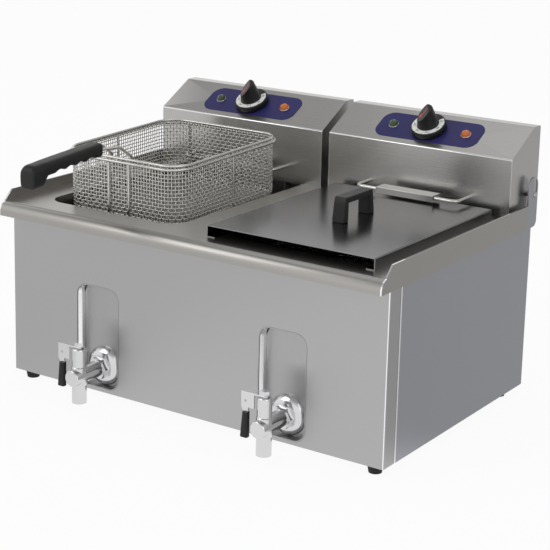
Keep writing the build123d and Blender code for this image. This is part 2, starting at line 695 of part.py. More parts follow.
def lamp_piece(along):
    """Pilot lamp: threaded body, bezel and domed lens."""
    lens = LAMP_LENS_DIAMETER / 2
    dome = (lens ** 2 + LAMP_LENS_HEIGHT ** 2) / (2 * LAMP_LENS_HEIGHT)
    tip = LAMP_BEZEL_HEIGHT + LAMP_LENS_HEIGHT
    half_turn = atan2(lens, dome - LAMP_LENS_HEIGHT) / 2
    outline = [
        Line((0, -LAMP_BODY_LENGTH), (LAMP_BODY_DIAMETER / 2, -LAMP_BODY_LENGTH)),
        Line((LAMP_BODY_DIAMETER / 2, -LAMP_BODY_LENGTH), (LAMP_BODY_DIAMETER / 2, 0)),
        Line((LAMP_BODY_DIAMETER / 2, 0), (LAMP_BEZEL_DIAMETER / 2, 0)),
        Line((LAMP_BEZEL_DIAMETER / 2, 0), (lens, LAMP_BEZEL_HEIGHT)),
        ThreePointArc((lens, LAMP_BEZEL_HEIGHT),
                      (dome * sin(half_turn), tip - dome * (1 - cos(half_turn))),
                      (0, tip)),
        Line((0, tip), (0, -LAMP_BODY_LENGTH)),
    ]
    lamp = revolve(Plane.XZ * make_face(outline), Axis.Z)
    return slope_plane(along, LABEL_THICKNESS).location * lamp


def thermostat_piece():
    """Thermostat body behind the sloped panel, with a bearing bore for the spindle."""
    front = slope_plane(lift=-SHEET) * Rectangle(THERMOSTAT_WIDTH, THERMOSTAT_LENGTH)
    body = extrude(front, -THERMOSTAT_HEIGHT)
    bore = extrude(slope_plane() * Circle(SPINDLE_DIAMETER / 2 + SPINDLE_FIT), -THERMOSTAT_HEIGHT)
    return body - bore


def knob_piece():
    """Round knob: flat skirt, tapered grip that slants off on its pointer side, and the spindle."""
    skirt = extrude(Circle(KNOB_DIAMETER / 2), KNOB_SKIRT_HEIGHT)
    skirt = fillet(skirt.edges().group_by(Axis.Z)[-1], KNOB_SKIRT_ROUND)
    taper = degrees(atan2((KNOB_GRIP_BASE - KNOB_GRIP_TOP) / 2, KNOB_GRIP_HEIGHT))
    grip = extrude(Circle(KNOB_GRIP_BASE / 2), KNOB_GRIP_HEIGHT, taper=taper)
    wide = KNOB_GRIP_BASE + KNOB_GRIP_HEIGHT
    above = Rot(KNOB_FACE_SLOPE, 0, 0) * block(-wide, wide, -wide, wide, 0, wide)
    grip -= Pos(0, KNOB_FACE_CREST, KNOB_GRIP_HEIGHT) * above
    ends = grip.faces().filter_by(GeomType.PLANE).sort_by(Axis.Z)[1:]
    grip = fillet(ends.edges(), KNOB_GRIP_ROUND)
    knob = skirt + Pos(0, 0, KNOB_SKIRT_HEIGHT) * grip
    knob += cylinder_along("Z", -SPINDLE_LENGTH, 0, SPINDLE_DIAMETER)
    return slope_plane(lift=LABEL_THICKNESS + KNOB_LIFT).location * (Rot(0, 0, KNOB_POINTER_ANGLE) * knob)


def seat_plates():
    """Slotted plates that take the heads' seat studs: one on each cabinet side and one between the heads."""
    low = skirt_z
    high = WORKTOP_HEIGHT + SEAT_PLATE_RISE
    slot = SEAT_STUD_DIAMETER / 2 + STUD_SLOT_GAP
    thick = SEAT_PLATE_THICKNESS
    front = skirt_back + PANEL_SEAM + STUD_SLOT_GAP
    back = front + SEAT_PLATE_WIDTH
    cutter = Pos(0, stud_y, stud_z) * cylinder_along("X", -thick, 2 * thick, 2 * slot)
    cutter += block(-thick, 2 * thick, stud_y - slot, stud_y + slot, stud_z, 2 * high)

    def plate(bottom):
        """Round-topped plate from a lower edge, with its slot open at the top."""
        blank = block(0, thick, front, back, bottom, high)
        rounds = blank.edges().filter_by(Axis.X).group_by(Axis.Z)
        blank = fillet(rounds[-1], SEAT_PLATE_WIDTH / 2 - STUD_SLOT_GAP)
        lower = blank.edges().filter_by(Axis.X).sort_by(Axis.Z)[:2].sort_by(Axis.Y)[-1]
        return fillet(lower, SEAT_PLATE_CORNER) - cutter

    outer = plate(low)
    middle = plate(WORKTOP_HEIGHT - SEAT_PLATE_CORNER) & block(0, thick, front, back, WORKTOP_HEIGHT, high)
    return {"seat_plates": Compound(children=[
        Pos(-half_width - thick, 0, 0) * outer,
        Pos(half_width, 0, 0) * outer,
        Pos(-thick / 2, 0, 0) * middle,
    ])}


def basket_mesh_piece():
    """Basket body, open above, in the hanger's frame: origin on the rod's axis at the basket's middle."""
    outer = upright_prism(basket_width, basket_depth, BASKET_CORNER, basket_floor, basket_top)
    outer = fillet(outer.edges().group_by(Axis.Z)[0], BASKET_FLOOR_RADIUS)
    inner = upright_prism(basket_width - 2 * BASKET_WALL, basket_depth - 2 * BASKET_WALL,
                          BASKET_CORNER - BASKET_WALL, basket_floor + BASKET_WALL, basket_top)
    inner = fillet(inner.edges().group_by(Axis.Z)[0], BASKET_FLOOR_RADIUS - BASKET_WALL)
    return Pos(0, basket_mid, 0) * (outer - inner)


def basket_rim_piece():
    """Two rim wires: one on the edge of the mesh and one round its outside."""
    on_edge = wire_loop(basket_width - BASKET_WALL, basket_depth - BASKET_WALL,
                        BASKET_CORNER - BASKET_WALL / 2, RIM_DIAMETER)
    grow = RIM_DIAMETER + 2 * WIRE_GAP
    outside = wire_loop(basket_width + grow, basket_depth + grow, BASKET_CORNER + grow / 2, RIM_DIAMETER)
    drop = RIM_DIAMETER / 2 + WIRE_GAP
    return Compound(children=[
        Pos(0, basket_mid, basket_top + drop) * on_edge,
        Pos(0, basket_mid, basket_top - drop) * outside,
    ])


def basket_frame_piece():
    """Stiffener wires round the basket and two hooks that come down its back and reach over the rod."""
    top = basket_top - RIM_DIAMETER - 2 * WIRE_GAP
    under = basket_floor - wire_out
    front = -basket_back - basket_depth - wire_out
    rear = -basket_back - BASKET_FLOOR_RADIUS
    bend = BASKET_FLOOR_RADIUS + wire_out
    wires = []
    for x in (-FRONT_WIRE_SPACING / 2, FRONT_WIRE_SPACING / 2):
        wires.append(wire_along([(x, front, top), (x, front, under), (x, rear, under)], FRAME_WIRE, bend))
    side = basket_width / 2 + wire_out
    lower = under - FRAME_WIRE - WIRE_GAP
    points = [(-side, basket_mid, top), (-side, basket_mid, lower), (side, basket_mid, lower),
              (side, basket_mid, top)]
    wires.append(wire_along(points, FRAME_WIRE, bend))
    for x in (-HOOK_SPACING / 2, HOOK_SPACING / 2):
        points = [(x, -hook_radius, top), (x, -hook_radius, hook_radius), (x, hook_radius, hook_radius),
                  (x, hook_radius, -HOOK_TIP)]
        wires.append(wire_along(points, FRAME_WIRE, HOOK_BEND))
    return Compound(children=wires)


def handle_wire_points(side):
    """Route of one handle wire: up inside the front wall, over the rim, then forward into the grip."""
    inside = -basket_back - basket_depth + (BASKET_WALL + RIM_DIAMETER + HANDLE_WIRE) / 2 + WIRE_GAP
    crown = basket_top + HANDLE_RISE
    wide = side * HANDLE_WIRE_SPACING / 2
    narrow = side * HANDLE_WIRE_CONVERGE / 2
    bend_y = inside - HANDLE_SLANT
    return [
        (wide, inside, basket_top - HANDLE_WIRE_LEG),
        (wide, inside, basket_top + RIM_DIAMETER + HANDLE_WIRE / 2),
        (wide, bend_y, crown),
        (narrow, grip_back, crown),
        (narrow, grip_back - GRIP_SOCKET, crown),
    ]


def handle_wires_piece():
    """Two bent wires that carry the grip in front of the basket."""
    wires = [wire_along(handle_wire_points(side), HANDLE_WIRE, HANDLE_WIRE_BEND) for side in (-1, 1)]
    return Compound(children=wires)


def handle_grip_piece():
    """Moulded grip with finger grooves below and a front end that turns down."""
    crown = basket_top + HANDLE_RISE
    top = crown + GRIP_DEPTH / 2
    low = crown - GRIP_DEPTH / 2
    hook_low = low - GRIP_HOOK_DROP
    hook_back = grip_front + GRIP_HOOK_WIDTH
    outline = side_profile([
        (grip_back, low),
        (grip_back, top),
        (grip_front, top),
        (grip_front, hook_low),
        (hook_back, hook_low),
        (hook_back, low),
    ])
    grip = across(outline, -GRIP_WIDTH / 2, GRIP_WIDTH / 2)
    corners = grip.edges().filter_by(Axis.X)
    grip = fillet(corners.sort_by_distance((0, grip_front, top))[0], GRIP_DEPTH / 2)
    inner_corner = grip.edges().filter_by(Axis.X).sort_by_distance((0, hook_back, low))[0]
    grip = fillet(inner_corner, GRIP_HOOK_DROP / 2)
    sides = grip.faces().filter_by(Axis.X).edges()
    grip = fillet(sides, GRIP_ROUND)
    for finger in range(FINGER_COUNT):
        y = grip_back - FINGER_START - finger * FINGER_PITCH
        groove = cylinder_along("X", -GRIP_WIDTH, GRIP_WIDTH, 2 * FINGER_RADIUS)
        grip -= Pos(0, y, low - FINGER_RADIUS + FINGER_DEPTH) * groove
    for side in (-1, 1):
        x, y, z = handle_wire_points(side)[-1]
        socket = cylinder_along("Y", 0, GRIP_SOCKET, HANDLE_WIRE + 2 * STEM_GAP)
        grip -= Pos(x, y, z) * socket
    return grip


def lid_pieces():
    """Folded lid, open at the front, and its moulded bridge handle."""
    half = WELL_WIDTH / 2 + LID_SIDE_LAP
    front = WELL_FRONT - LID_FRONT_LAP
    back = head_front - LID_REAR_GAP
    low = WORKTOP_HEIGHT
    high = WORKTOP_HEIGHT + LID_HEIGHT
    lid = block(-half, half, front, back, low, high)
    lid = fillet(lid.edges().filter_by(Axis.Y).group_by(Axis.Z)[-1], LID_BEND)
    hollow = block(-half + SHEET, half - SHEET, front, back - SHEET, low + SHEET, high - SHEET)
    lid -= hollow
    gap = half - SHEET - LID_RETURN
    lid -= block(-gap, gap, front, back - SHEET, low, low + SHEET)

    middle = (front + back) / 2
    length = LID_HANDLE_LENGTH
    top = high + LID_HANDLE_HEIGHT
    foot = LID_HANDLE_FOOT
    leg = LID_HANDLE_LEG
    ledge = length / 2 - (foot - leg)
    outline = side_profile([
        (middle - length / 2, high),
        (middle - ledge, top - LID_HANDLE_BAR),
        (middle - ledge + LID_HANDLE_EDGE, top),
        (middle + ledge - LID_HANDLE_EDGE, top),
        (middle + ledge, top - LID_HANDLE_BAR),
        (middle + length / 2, high),
        (middle + length / 2 - foot, high),
        (middle + ledge - leg, top - LID_HANDLE_BAR),
        (middle - ledge + leg, top - LID_HANDLE_BAR),
        (middle - length / 2 + foot, high),
    ])
    handle = across(outline, -LID_HANDLE_WIDTH / 2, LID_HANDLE_WIDTH / 2)
    handle = chamfer(handle.faces().filter_by(Axis.X).edges(), LID_HANDLE_EDGE / 2)
    return {
        "lid_sheet": Pos(well_x, 0, 0) * lid,
        "lid_handle": Pos(well_x, 0, 0) * handle,
    }


def side_pieces(name, side):
    """All pieces that each half of the fryer has: tank, drain, tap and control head."""
    fixed = {
        "tank": tank_piece(),
        "recess_pan": recess_pan_piece(),
        "head_shell": head_shell_piece(side),
        "head_base": head_base_piece(),
        "heating_element": element_piece(),
        "sensor_tube": sensor_piece(),
        "cable_gland": gland_piece(),
        "panel_plate": label_piece(),
        "green_lamp": lamp_piece(-LAMP_OFFSET),
        "amber_lamp": lamp_piece(LAMP_OFFSET),
        "thermostat": thermostat_piece(),
        "knob": knob_piece(),
    }
    tap = {
        "drain_pipe": drain_pipe_piece(),
        "tap_rosette": rosette_piece(),
        "tap_body": tap_body_piece(),
        "tap_spout": tap_spout_piece(),
        "tap_stem": tap_stem_piece(),
        "tap_lever": tap_lever_piece(),
        "tap_grip": tap_grip_piece(),
    }
    hanger = {
        "hanger_rod": hanger_rod_piece(),
        "hanger_saddle": saddle_piece(),
    }
    placed = {}
    for group, offset in ((fixed, 0), (tap, TAP_OFFSET), (hanger, HANGER_OFFSET)):
        for piece, shape in group.items():
            placed[f"{name}_{piece}"] = Pos(side * well_x + offset, 0, 0) * shape
    return placed


def baskets():
    """Left basket hung on its rod with its handle, and right basket standing on its element."""
    hung = Pos(-well_x + HANGER_OFFSET, rod_y, rod_z) * Rot(BASKET_DROOP, 0, 0)
    element_top = element_z + ELEMENT_DIAMETER / 2
    standing_z = element_top + STUD_SLOT_GAP + frame_low - basket_floor
    standing = Pos(well_x, rod_y - BASKET_SHIFT, standing_z)
    common = {
        "basket_mesh": basket_mesh_piece(),
        "basket_rim": basket_rim_piece(),
        "basket_frame": basket_frame_piece(),
    }
    placed = {}
    for piece, shape in common.items():
        placed[f"left_{piece}"] = hung * shape
        placed[f"right_{piece}"] = standing * shape
    placed["left_basket_handle_wires"] = hung * handle_wires_piece()
    placed["left_basket_grip"] = hung * handle_grip_piece()
    return placed


def main():
    os.makedirs("parts", exist_ok=True)
    pieces = {}
    pieces.update(panels())
    pieces.update(feet())
    pieces.update(worktop())
    pieces.update(seat_plates())
    pieces.update(side_pieces("left", -1))
    pieces.update(side_pieces("right", 1))
    pieces.update(baskets())
    pieces.update(lid_pieces())
    for name, shape in pieces.items():
        export_step(seat(shape), f"parts/{name}.step")


main()
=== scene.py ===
"""Twin countertop electric deep fryer: woven baskets, dials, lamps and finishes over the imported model.

Lengths are metres in the model's own frame: +X to the right, +Y to the back, +Z up, feet on z = 0.
"""
import math
import bmesh
import bpy
import numpy as np
from mathutils import Matrix, Vector


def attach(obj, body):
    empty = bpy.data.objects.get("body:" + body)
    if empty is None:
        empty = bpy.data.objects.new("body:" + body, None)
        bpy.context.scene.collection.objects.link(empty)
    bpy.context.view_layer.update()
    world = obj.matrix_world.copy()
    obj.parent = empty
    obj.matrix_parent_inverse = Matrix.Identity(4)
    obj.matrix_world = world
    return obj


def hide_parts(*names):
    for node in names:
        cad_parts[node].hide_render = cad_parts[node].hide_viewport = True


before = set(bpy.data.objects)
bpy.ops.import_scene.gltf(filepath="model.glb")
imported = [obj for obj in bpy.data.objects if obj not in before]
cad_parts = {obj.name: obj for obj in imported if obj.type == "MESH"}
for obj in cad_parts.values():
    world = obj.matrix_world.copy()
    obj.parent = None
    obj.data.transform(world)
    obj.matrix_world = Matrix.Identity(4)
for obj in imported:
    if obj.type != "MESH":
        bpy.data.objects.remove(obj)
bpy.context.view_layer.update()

SIDES = {"left": -1.0, "right": 1.0}

# Cabinet and worktop: depths are from the front face, heights from the cabinet's lower edge
ORIGIN_DEPTH = 0.1275
FOOT_HEIGHT = 0.012
WELL_X = 0.1495
CABINET_HALF = 0.300
SIDE_PLATE = 0.0025
# Folds and edges whose bands get a painted highlight
FOLD_X = 0.2984
FOLD_DEPTH = 0.0012
FRONT_RETURN = 0.026
PANEL_EDGE = 0.0036
FLANGE_SKIN = 0.0002
FLANGE_CUT = 0.030

# Tap recesses and the lips in them
RECESS_HALF = 0.0365
RECESS_TOP = 0.148
RECESS_CORNER = 0.017
LIP_FOOT = 0.040
LIP_RUN = 0.028
LIP_WIDTH = 0.0042
LIP_DEPTH = 0.007
LIP_BACK = 0.0128
LIP_STATIONS = 120

# Tap levers and their rivets
TAP_REACH = 0.041
TAP_SHIFT = 0.003
TAP_HEIGHT = 0.034
LEVER_TOP = 0.0423
LEVER_WIDTH = 0.013
LEVER_REACH = 0.031
RIVET_RADIUS = 0.0016
RIVET_HEIGHT = 0.0009
RIVET_INSET = 0.0065
RIVET_DROP = 0.0115
RIVET_SIDES = 20
RIVET_RINGS = 8

# Baskets: the hanger rod's place, then sizes from the rod's axis
HANGER_SHIFT = 0.004
ROD_DEPTH = 0.290
ROD_HEIGHT = 0.269
BASKET_WIDTH = 0.200
BASKET_LENGTH = 0.242
BASKET_TOP = 0.053
BASKET_FLOOR = -0.033
BASKET_BACK = -0.006
BASKET_CORNER = 0.033
BASKET_FLOOR_RADIUS = 0.011
BASKET_WALL = 0.0024
BASKET_DROOP = math.radians(1.6)
STANDING_SHIFT = 0.011
STANDING_HEIGHT = 0.1627
WEAVE_PITCH = 0.0048
WEAVE_WIRE = 0.0007
WEAVE_WAVE = 0.0005
WEAVE_SIDES = 6

# Basket grip
GRIP_BACK = -0.293
GRIP_LENGTH = 0.136
GRIP_WIDTH = 0.0235
GRIP_DEPTH = 0.0185
GRIP_TOP = 0.0865
GRIP_FALL = math.tan(math.radians(2.6))
GRIP_NOSE = 0.010
GRIP_EDGE = 0.003
GRIP_STATIONS = 150
GRIP_SIDES = 40
HOOK_LENGTH = 0.025
HOOK_DROP = 0.0115
FINGERS = 4
FINGER_START = 0.022
FINGER_PITCH = 0.020
FINGER_DEPTH = 0.0028

# Control heads and their sloped panels
HEAD_HALF = 0.1435
HEAD_FRONT = 0.326
KNEE_HEIGHT = 0.341
# Strength of the highlight painted on the heads' front corners and knee
HEAD_HIGHLIGHT_LEVEL = 0.6
PANEL_RISE = 0.035
PANEL_RUN = 0.064
PANEL_SLOPE = math.atan2(PANEL_RISE, PANEL_RUN)
PANEL_DEPTH = 0.358
PANEL_HEIGHT = 0.3465
PLATE_THICKNESS = 0.0006

# Lamps on the panels: radii, and heights above the plate
LAMP_OFFSET = 0.057
LAMP_BODY = 0.005
LAMP_BODY_LENGTH = 0.022
BEZEL_RADIUS = 0.0075
BEZEL_SIDES = 48
BEZEL_EDGE_HEIGHT = 0.0006
BEZEL_FACE_RADIUS = 0.007275
BEZEL_FACE_HEIGHT = 0.00096
CAP_FOOT_RADIUS = 0.00705
CAP_FOOT_LOW = 0.00084
CAP_FOOT_HIGH = 0.00168
CAP_DOME_RADIUS = 0.0063
CAP_DOME_FOOT = 0.0024
CAP_DOME_HEIGHT = 0.0036
CAP_DOME_POWER = 0.8
CAP_FACETS = 10
CAP_RINGS = 5

# Knobs: radii, and heights above the knob's underside
KNOB_LIFT = 0.0008
KNOB_RADIUS = 0.025
KNOB_CHAMFER = 0.0006
KNOB_SKIRT = 0.009
KNOB_SKIRT_ROUND = 0.0018
KNOB_GRIP_HEIGHT = 0.0265
KNOB_GRIP_FOOT = 0.015
KNOB_GRIP_TOP = 0.0115
KNOB_GRIP_ROUND = 0.0012
KNOB_FOOT_FILLET = 0.0006
KNOB_FACE_SLOPE = math.radians(42)
KNOB_FACE_CREST = 0.005
KNOB_FACE_SOFT = 0.0004
KNOB_FACE_FLOOR = 0.0003
KNOB_POINTER_TURN = math.radians(-60)
KNOB_SIDES = 64
KNOB_GRIP_RINGS = 26
KNOB_ROUND_RINGS = 6
KNOB_CROWN_RINGS = 14

# Prints on the knobs
PRINT_THICKNESS = 0.0001
PRINT_LIFT = 0.00012
DIAL_INNER = 0.0158
DIAL_OUTER = 0.0230
DIAL_START = 135.0
DIAL_END = 405.0
DIAL_RINGS = 4
DIAL_STEPS = 97
DIAL_NUMBERS = ("50", "80", "110", "140", "170", "190")
NUMBER_RADIUS = 0.0186
NUMBER_SIZE = 0.0046
NUMBER_LIFT = 0.0002
NUMBER_MARGIN = 15.0
NUMBER_CURVE_STEPS = 3
POINTER_LOW = -0.0100
POINTER_LENGTH = 0.0148
POINTER_HEAD = 0.0026
POINTER_NECK = 0.0009
POINTER_HEAD_SHARE = 0.2
POINTER_STATIONS = 40
POINTER_COLUMNS = 5

# Softened edges and merged corners
SHEET_EDGE = 0.0004
HANDLE_EDGE = 0.0008
EDGE_ANGLE = math.radians(40)
EDGE_SEGMENTS = 2
WELD_DISTANCE = 1e-6
POLE_DISTANCE = 1e-7


def place(x, depth, height):
    """Model point of a place given by x from mid-width, depth behind the front face and height above the
    cabinet's lower edge."""
    return np.array([x, depth - ORIGIN_DEPTH, height + FOOT_HEIGHT])


def turned(angle, axis):
    """Rotation matrix, as an array, for an angle about X or Z."""
    return np.array(Matrix.Rotation(angle, 3, axis))


def ring_angles(steps):
    """Angles of one clockwise turn, in equal steps."""
    return -np.arange(steps) * 2 * math.pi / steps


# Meshes from arrays

def mesh_object(name, points, faces, uv=None, smooth=True):
    """Object from an (n, 3) array of points and an (m, k) array of corner numbers, with an optional (m, k, 2)
    array of UV corners."""
    mesh = bpy.data.meshes.new(name)
    count, corners = faces.shape
    mesh.vertices.add(len(points))
    mesh.vertices.foreach_set("co", np.ascontiguousarray(points, dtype=np.float32).ravel())
    mesh.loops.add(corners * count)
    mesh.loops.foreach_set("vertex_index", np.ascontiguousarray(faces, dtype=np.int32).ravel())
    mesh.polygons.add(count)
    mesh.polygons.foreach_set("loop_start", np.arange(0, corners * count, corners, dtype=np.int32))
    mesh.polygons.foreach_set("use_smooth", np.full(count, smooth))
    if uv is not None:
        layer = mesh.uv_layers.new(name="UVMap")
        layer.data.foreach_set("uv", np.ascontiguousarray(uv, dtype=np.float32).ravel())
    mesh.update(calc_edges=True)
    mesh.validate()
    thing = bpy.data.objects.new(name, mesh)
    bpy.context.scene.collection.objects.link(thing)
    return thing


def grid_faces(rows, columns, wrap_rows=False, wrap_columns=False):
    """Corner numbers of the quads of a rows by columns grid, joined end to end where it wraps."""
    i = np.arange(rows if wrap_rows else rows - 1)
    j = np.arange(columns if wrap_columns else columns - 1)
    i, j = np.meshgrid(i, j, indexing="ij")
    i2 = (i + 1) % rows
    j2 = (j + 1) % columns
    quads = np.stack([i * columns + j, i2 * columns + j, i2 * columns + j2, i * columns + j2], axis=-1)
    return quads.reshape(-1, 4)


def merged(thing):
    """The object with the corners that meet at its poles made one."""
    work = bmesh.new()
    work.from_mesh(thing.data)
    bmesh.ops.remove_doubles(work, verts=work.verts, dist=POLE_DISTANCE)
    work.to_mesh(thing.data)
    work.free()
    return thing


def printed(thing):
    """The flat object with the thickness of a print, below its face."""
    thing.modifiers.new("print", "SOLIDIFY").thickness = PRINT_THICKNESS
    return thing


def surface(name, points, wrap_columns=False, smooth=True):
    """Object from a (rows, columns, 3) grid of points; UV runs 0 to 1 along rows and columns."""
    rows, columns = points.shape[:2]
    faces = grid_faces(rows, columns, wrap_columns=wrap_columns)
    u = np.arange(rows) / (rows - 1)
    v = np.arange(columns) / (columns - 1)
    corner = np.stack(np.meshgrid(u, v, indexing="ij"), axis=-1).reshape(-1, 2)
    return mesh_object(name, points.reshape(-1, 3), faces, corner[faces], smooth)


def revolved(name, profile, centre, turn, steps, smooth=True):
    """Surface of revolution: (radius, height) profile points, upwards along the outside, turned clockwise
    about the local Z axis, then turned by a 3x3 matrix and moved to centre."""
    profile = np.asarray(profile, dtype=float)
    angle = ring_angles(steps)
    x = profile[:, :1] * np.cos(angle)
    y = profile[:, :1] * np.sin(angle)
    z = np.repeat(profile[:, 1:], steps, axis=1)
    points = np.stack([x, y, z], axis=-1) @ turn.T + centre
    return merged(surface(name, points, wrap_columns=True, smooth=smooth))


def wires(name, parts):
    """One object of many six-sided wires.

    Each part is (centre, normal, across, closed), the first three arrays of shape (wires, stations, 3). A
    station's six corners are centre + wire radius * (normal * cos t + across * sin t), 60 degrees apart. Open
    wires get a cap of two quads at each end.
    """
    turn = np.arange(WEAVE_SIDES) * 2 * math.pi / WEAVE_SIDES
    all_points = []
    all_faces = []
    start = 0
    for centre, normal, across, closed in parts:
        count, stations = centre.shape[:2]
        ring = (normal[:, :, None, :] * np.cos(turn)[None, None, :, None]
                + across[:, :, None, :] * np.sin(turn)[None, None, :, None])
        points = centre[:, :, None, :] + WEAVE_WIRE * ring
        one = grid_faces(stations, WEAVE_SIDES, wrap_rows=closed, wrap_columns=True)
        if not closed:
            cap = np.array([[0, 1, 2, 3], [0, 3, 4, 5]])
            last = WEAVE_SIDES * (stations - 1)
            one = np.concatenate([one, cap, cap[:, ::-1] + last])
        offsets = start + np.arange(count) * stations * WEAVE_SIDES
        all_points.append(points.reshape(-1, 3))
        all_faces.append((one[None] + offsets[:, None, None]).reshape(-1, 4))
        start += count * stations * WEAVE_SIDES
    return mesh_object(name, np.concatenate(all_points), np.concatenate(all_faces))


# Finishes

class Value:
    """A shader socket that Python's operators work on; each operator adds one Math node."""

    def __init__(self, nodes, socket):
        self.nodes = nodes
        self.socket = socket

    def combine(self, operation, first, second):
        return self.nodes.node("ShaderNodeMath", {"operation": operation}, {0: first, 1: second})

    def __add__(self, other):
        return self.combine("ADD", self, other)

    def __radd__(self, other):
        return self.combine("ADD", other, self)

    def __sub__(self, other):
        return self.combine("SUBTRACT", self, other)

    def __rsub__(self, other):
        return self.combine("SUBTRACT", other, self)

    def __mul__(self, other):
        return self.combine("MULTIPLY", self, other)

    def __rmul__(self, other):
        return self.combine("MULTIPLY", other, self)

    def __gt__(self, other):
        return self.combine("GREATER_THAN", self, other)

    def __lt__(self, other):
        return self.combine("LESS_THAN", self, other)


class Nodes:
    """A node tree; node() adds a node, sets it up, fills its sockets and returns one of its outputs."""

    def __init__(self, tree):
        self.tree = tree

    def node(self, kind, settings, sockets, output=0):
        node = self.tree.nodes.new(kind)
        for key, value in settings.items():
            setattr(node, key, value)
        for key, value in sockets.items():
            if isinstance(value, Value):
                self.tree.links.new(value.socket, node.inputs[key])
            else:
                node.inputs[key].default_value = value
        return Value(self, node.outputs[output])

    def coordinates(self, kind="Object"):
        return self.node("ShaderNodeTexCoord", {}, {}, kind)

    def axis(self, vector, name):
        return self.node("ShaderNodeSeparateXYZ", {}, {"Vector": vector}, name)

    def along(self, vector, direction):
        return self.node("ShaderNodeVectorMath", {"operation": "DOT_PRODUCT"},
                         {0: vector, 1: direction}, "Value")

    def noise(self, vector, scale, detail=3.0, roughness=0.55):
        return self.node("ShaderNodeTexNoise", {}, {"Vector": vector, "Scale": scale, "Detail": detail,
                                                    "Roughness": roughness})

    def stretched(self, vector, scale):
        return self.node("ShaderNodeMapping", {"vector_type": "POINT"}, {"Vector": vector, "Scale": scale})

    def fraction(self, value):
        return self.node("ShaderNodeMath", {"operation": "FRACT"}, {0: value})

    def larger(self, first, second):
        return self.node("ShaderNodeMath", {"operation": "MAXIMUM"}, {0: first, 1: second})

    def eased(self, value, start, end, at_start, at_end):
        """A value carried smoothly from one level to another between a start and an end."""
        return self.node("ShaderNodeMapRange", {"interpolation_type": "SMOOTHSTEP"},
                         {"Value": value, "From Min": start, "From Max": end,
                          "To Min": at_start, "To Max": at_end})

    def blend(self, factor, first, second):
        return self.node("ShaderNodeMix", {"data_type": "RGBA"}, {0: factor, 6: first, 7: second}, 2)

    def bump(self, height, strength, distance):
        return self.node("ShaderNodeBump", {}, {"Height": height, "Strength": strength, "Distance": distance})

    def ray(self, kind):
        return self.node("ShaderNodeLightPath", {}, {}, kind)


class Finish(Nodes):
    """The nodes of a material with one principled shader, whose constant inputs are given by name."""

    def __init__(self, name, **constants):
        self.material = bpy.data.materials.new(name)
        self.material.use_nodes = True
        super().__init__(self.material.node_tree)
        self.shader = self.tree.nodes["Principled BSDF"]
        for socket, value in constants.items():
            self.shader.inputs[socket.replace("_", " ")].default_value = value

    def feed(self, socket, value):
        self.tree.links.new(value.socket, self.shader.inputs[socket])


def colour(base, level=1.0):
    """Socket colour of a (red, green, blue) base at a level of brightness."""
    return (*(min(level * part, 1.0) for part in base), 1.0)


def swing(pattern, amount):
    """A pattern of 0 to 1 as a swing about nothing."""
    return (pattern - 0.5) * amount


WHITE = colour((1.0, 1.0, 1.0))
BLACK = colour((0.0, 0.0, 0.0))
# Near-white steel colour of the painted highlights on folds, edges and recess lips
HIGHLIGHT_STEEL = (0.93, 0.93, 0.94)
ALONG_X = (4.0, 1500.0, 1500.0)
ALONG_Y = (1500.0, 4.0, 1500.0)
FINE_ALONG_X = (4.0, 4000.0, 4000.0)
ALL_WAYS = (60.0, 60.0, 60.0)
SCRATCH_SHARE = 0.7
SCRATCH_SWING = 0.06
SCRATCH_DEPTH = 0.0004
CLOUD_SWING = 0.04
POLISH_GAIN = 0.55
MOTTLE_SHARE = 0.4


def steel(name, base, rough, grain=ALONG_X, grain_bump=0.02, spread=0.03, polished=None, edge=1.0):
    """Brushed stainless sheet: long fine scratches along the grain over slow, wide changes of polish.

    Where a highlight mask of the sheet's x, y and z is given, the sheet is blended there to near-white steel
    as a painted highlight, and its roughness falls. An edge below 1 darkens the sheet at grazing angles.
    """
    finish = Finish(name, Metallic=1.0, Specular_Tint=colour((edge, edge, edge)))
    vector = finish.coordinates()
    scratch = finish.noise(finish.stretched(vector, grain), scale=1.0, detail=4.0, roughness=0.65)
    cloud = finish.noise(vector, scale=7.0, detail=2.0)
    mottle = scratch * SCRATCH_SHARE + cloud * (1 - SCRATCH_SHARE)
    shade = finish.blend(mottle, colour(base, 1 - spread), colour(base, 1 + spread))
    polish = rough + swing(scratch, SCRATCH_SWING) + swing(cloud, CLOUD_SWING)
    # Painted highlight: near-white steel blended in where the mask is set
    if polished:
        mask = polished(*(finish.axis(vector, letter) for letter in "XYZ"))
        shade = finish.blend(mask, shade, colour(HIGHLIGHT_STEEL))
        polish = polish * (1 - POLISH_GAIN * mask)
    finish.feed("Base Color", shade)
    finish.feed("Roughness", polish)
    finish.feed("Normal", finish.bump(scratch, grain_bump, SCRATCH_DEPTH))
    return finish.material


def bright_metal(name, base, rough):
    """Polished metal with faint clouding."""
    finish = Finish(name, Metallic=1.0)
    cloud = finish.noise(finish.coordinates(), scale=60.0)
    finish.feed("Base Color", finish.blend(cloud, colour(base, level=0.94), colour(base)))
    finish.feed("Roughness", rough + swing(cloud, amount=0.06))
    return finish.material


def moulded(name, base, rough, grain=900.0):
    """Moulded plastic or rubber with a fine pebbled skin."""
    finish = Finish(name, Specular_IOR_Level=0.32)
    vector = finish.coordinates()
    pebble = finish.noise(vector, grain, detail=2.0)
    cloud = finish.noise(vector, scale=25.0, detail=2.0)
    finish.feed("Base Color", finish.blend(cloud, colour(base, level=0.8), colour(base, level=1.2)))
    finish.feed("Roughness", rough + swing(pebble, amount=0.1) + swing(cloud, amount=0.06))
    finish.feed("Normal", finish.bump(pebble, strength=0.25, distance=0.0002))
    return finish.material


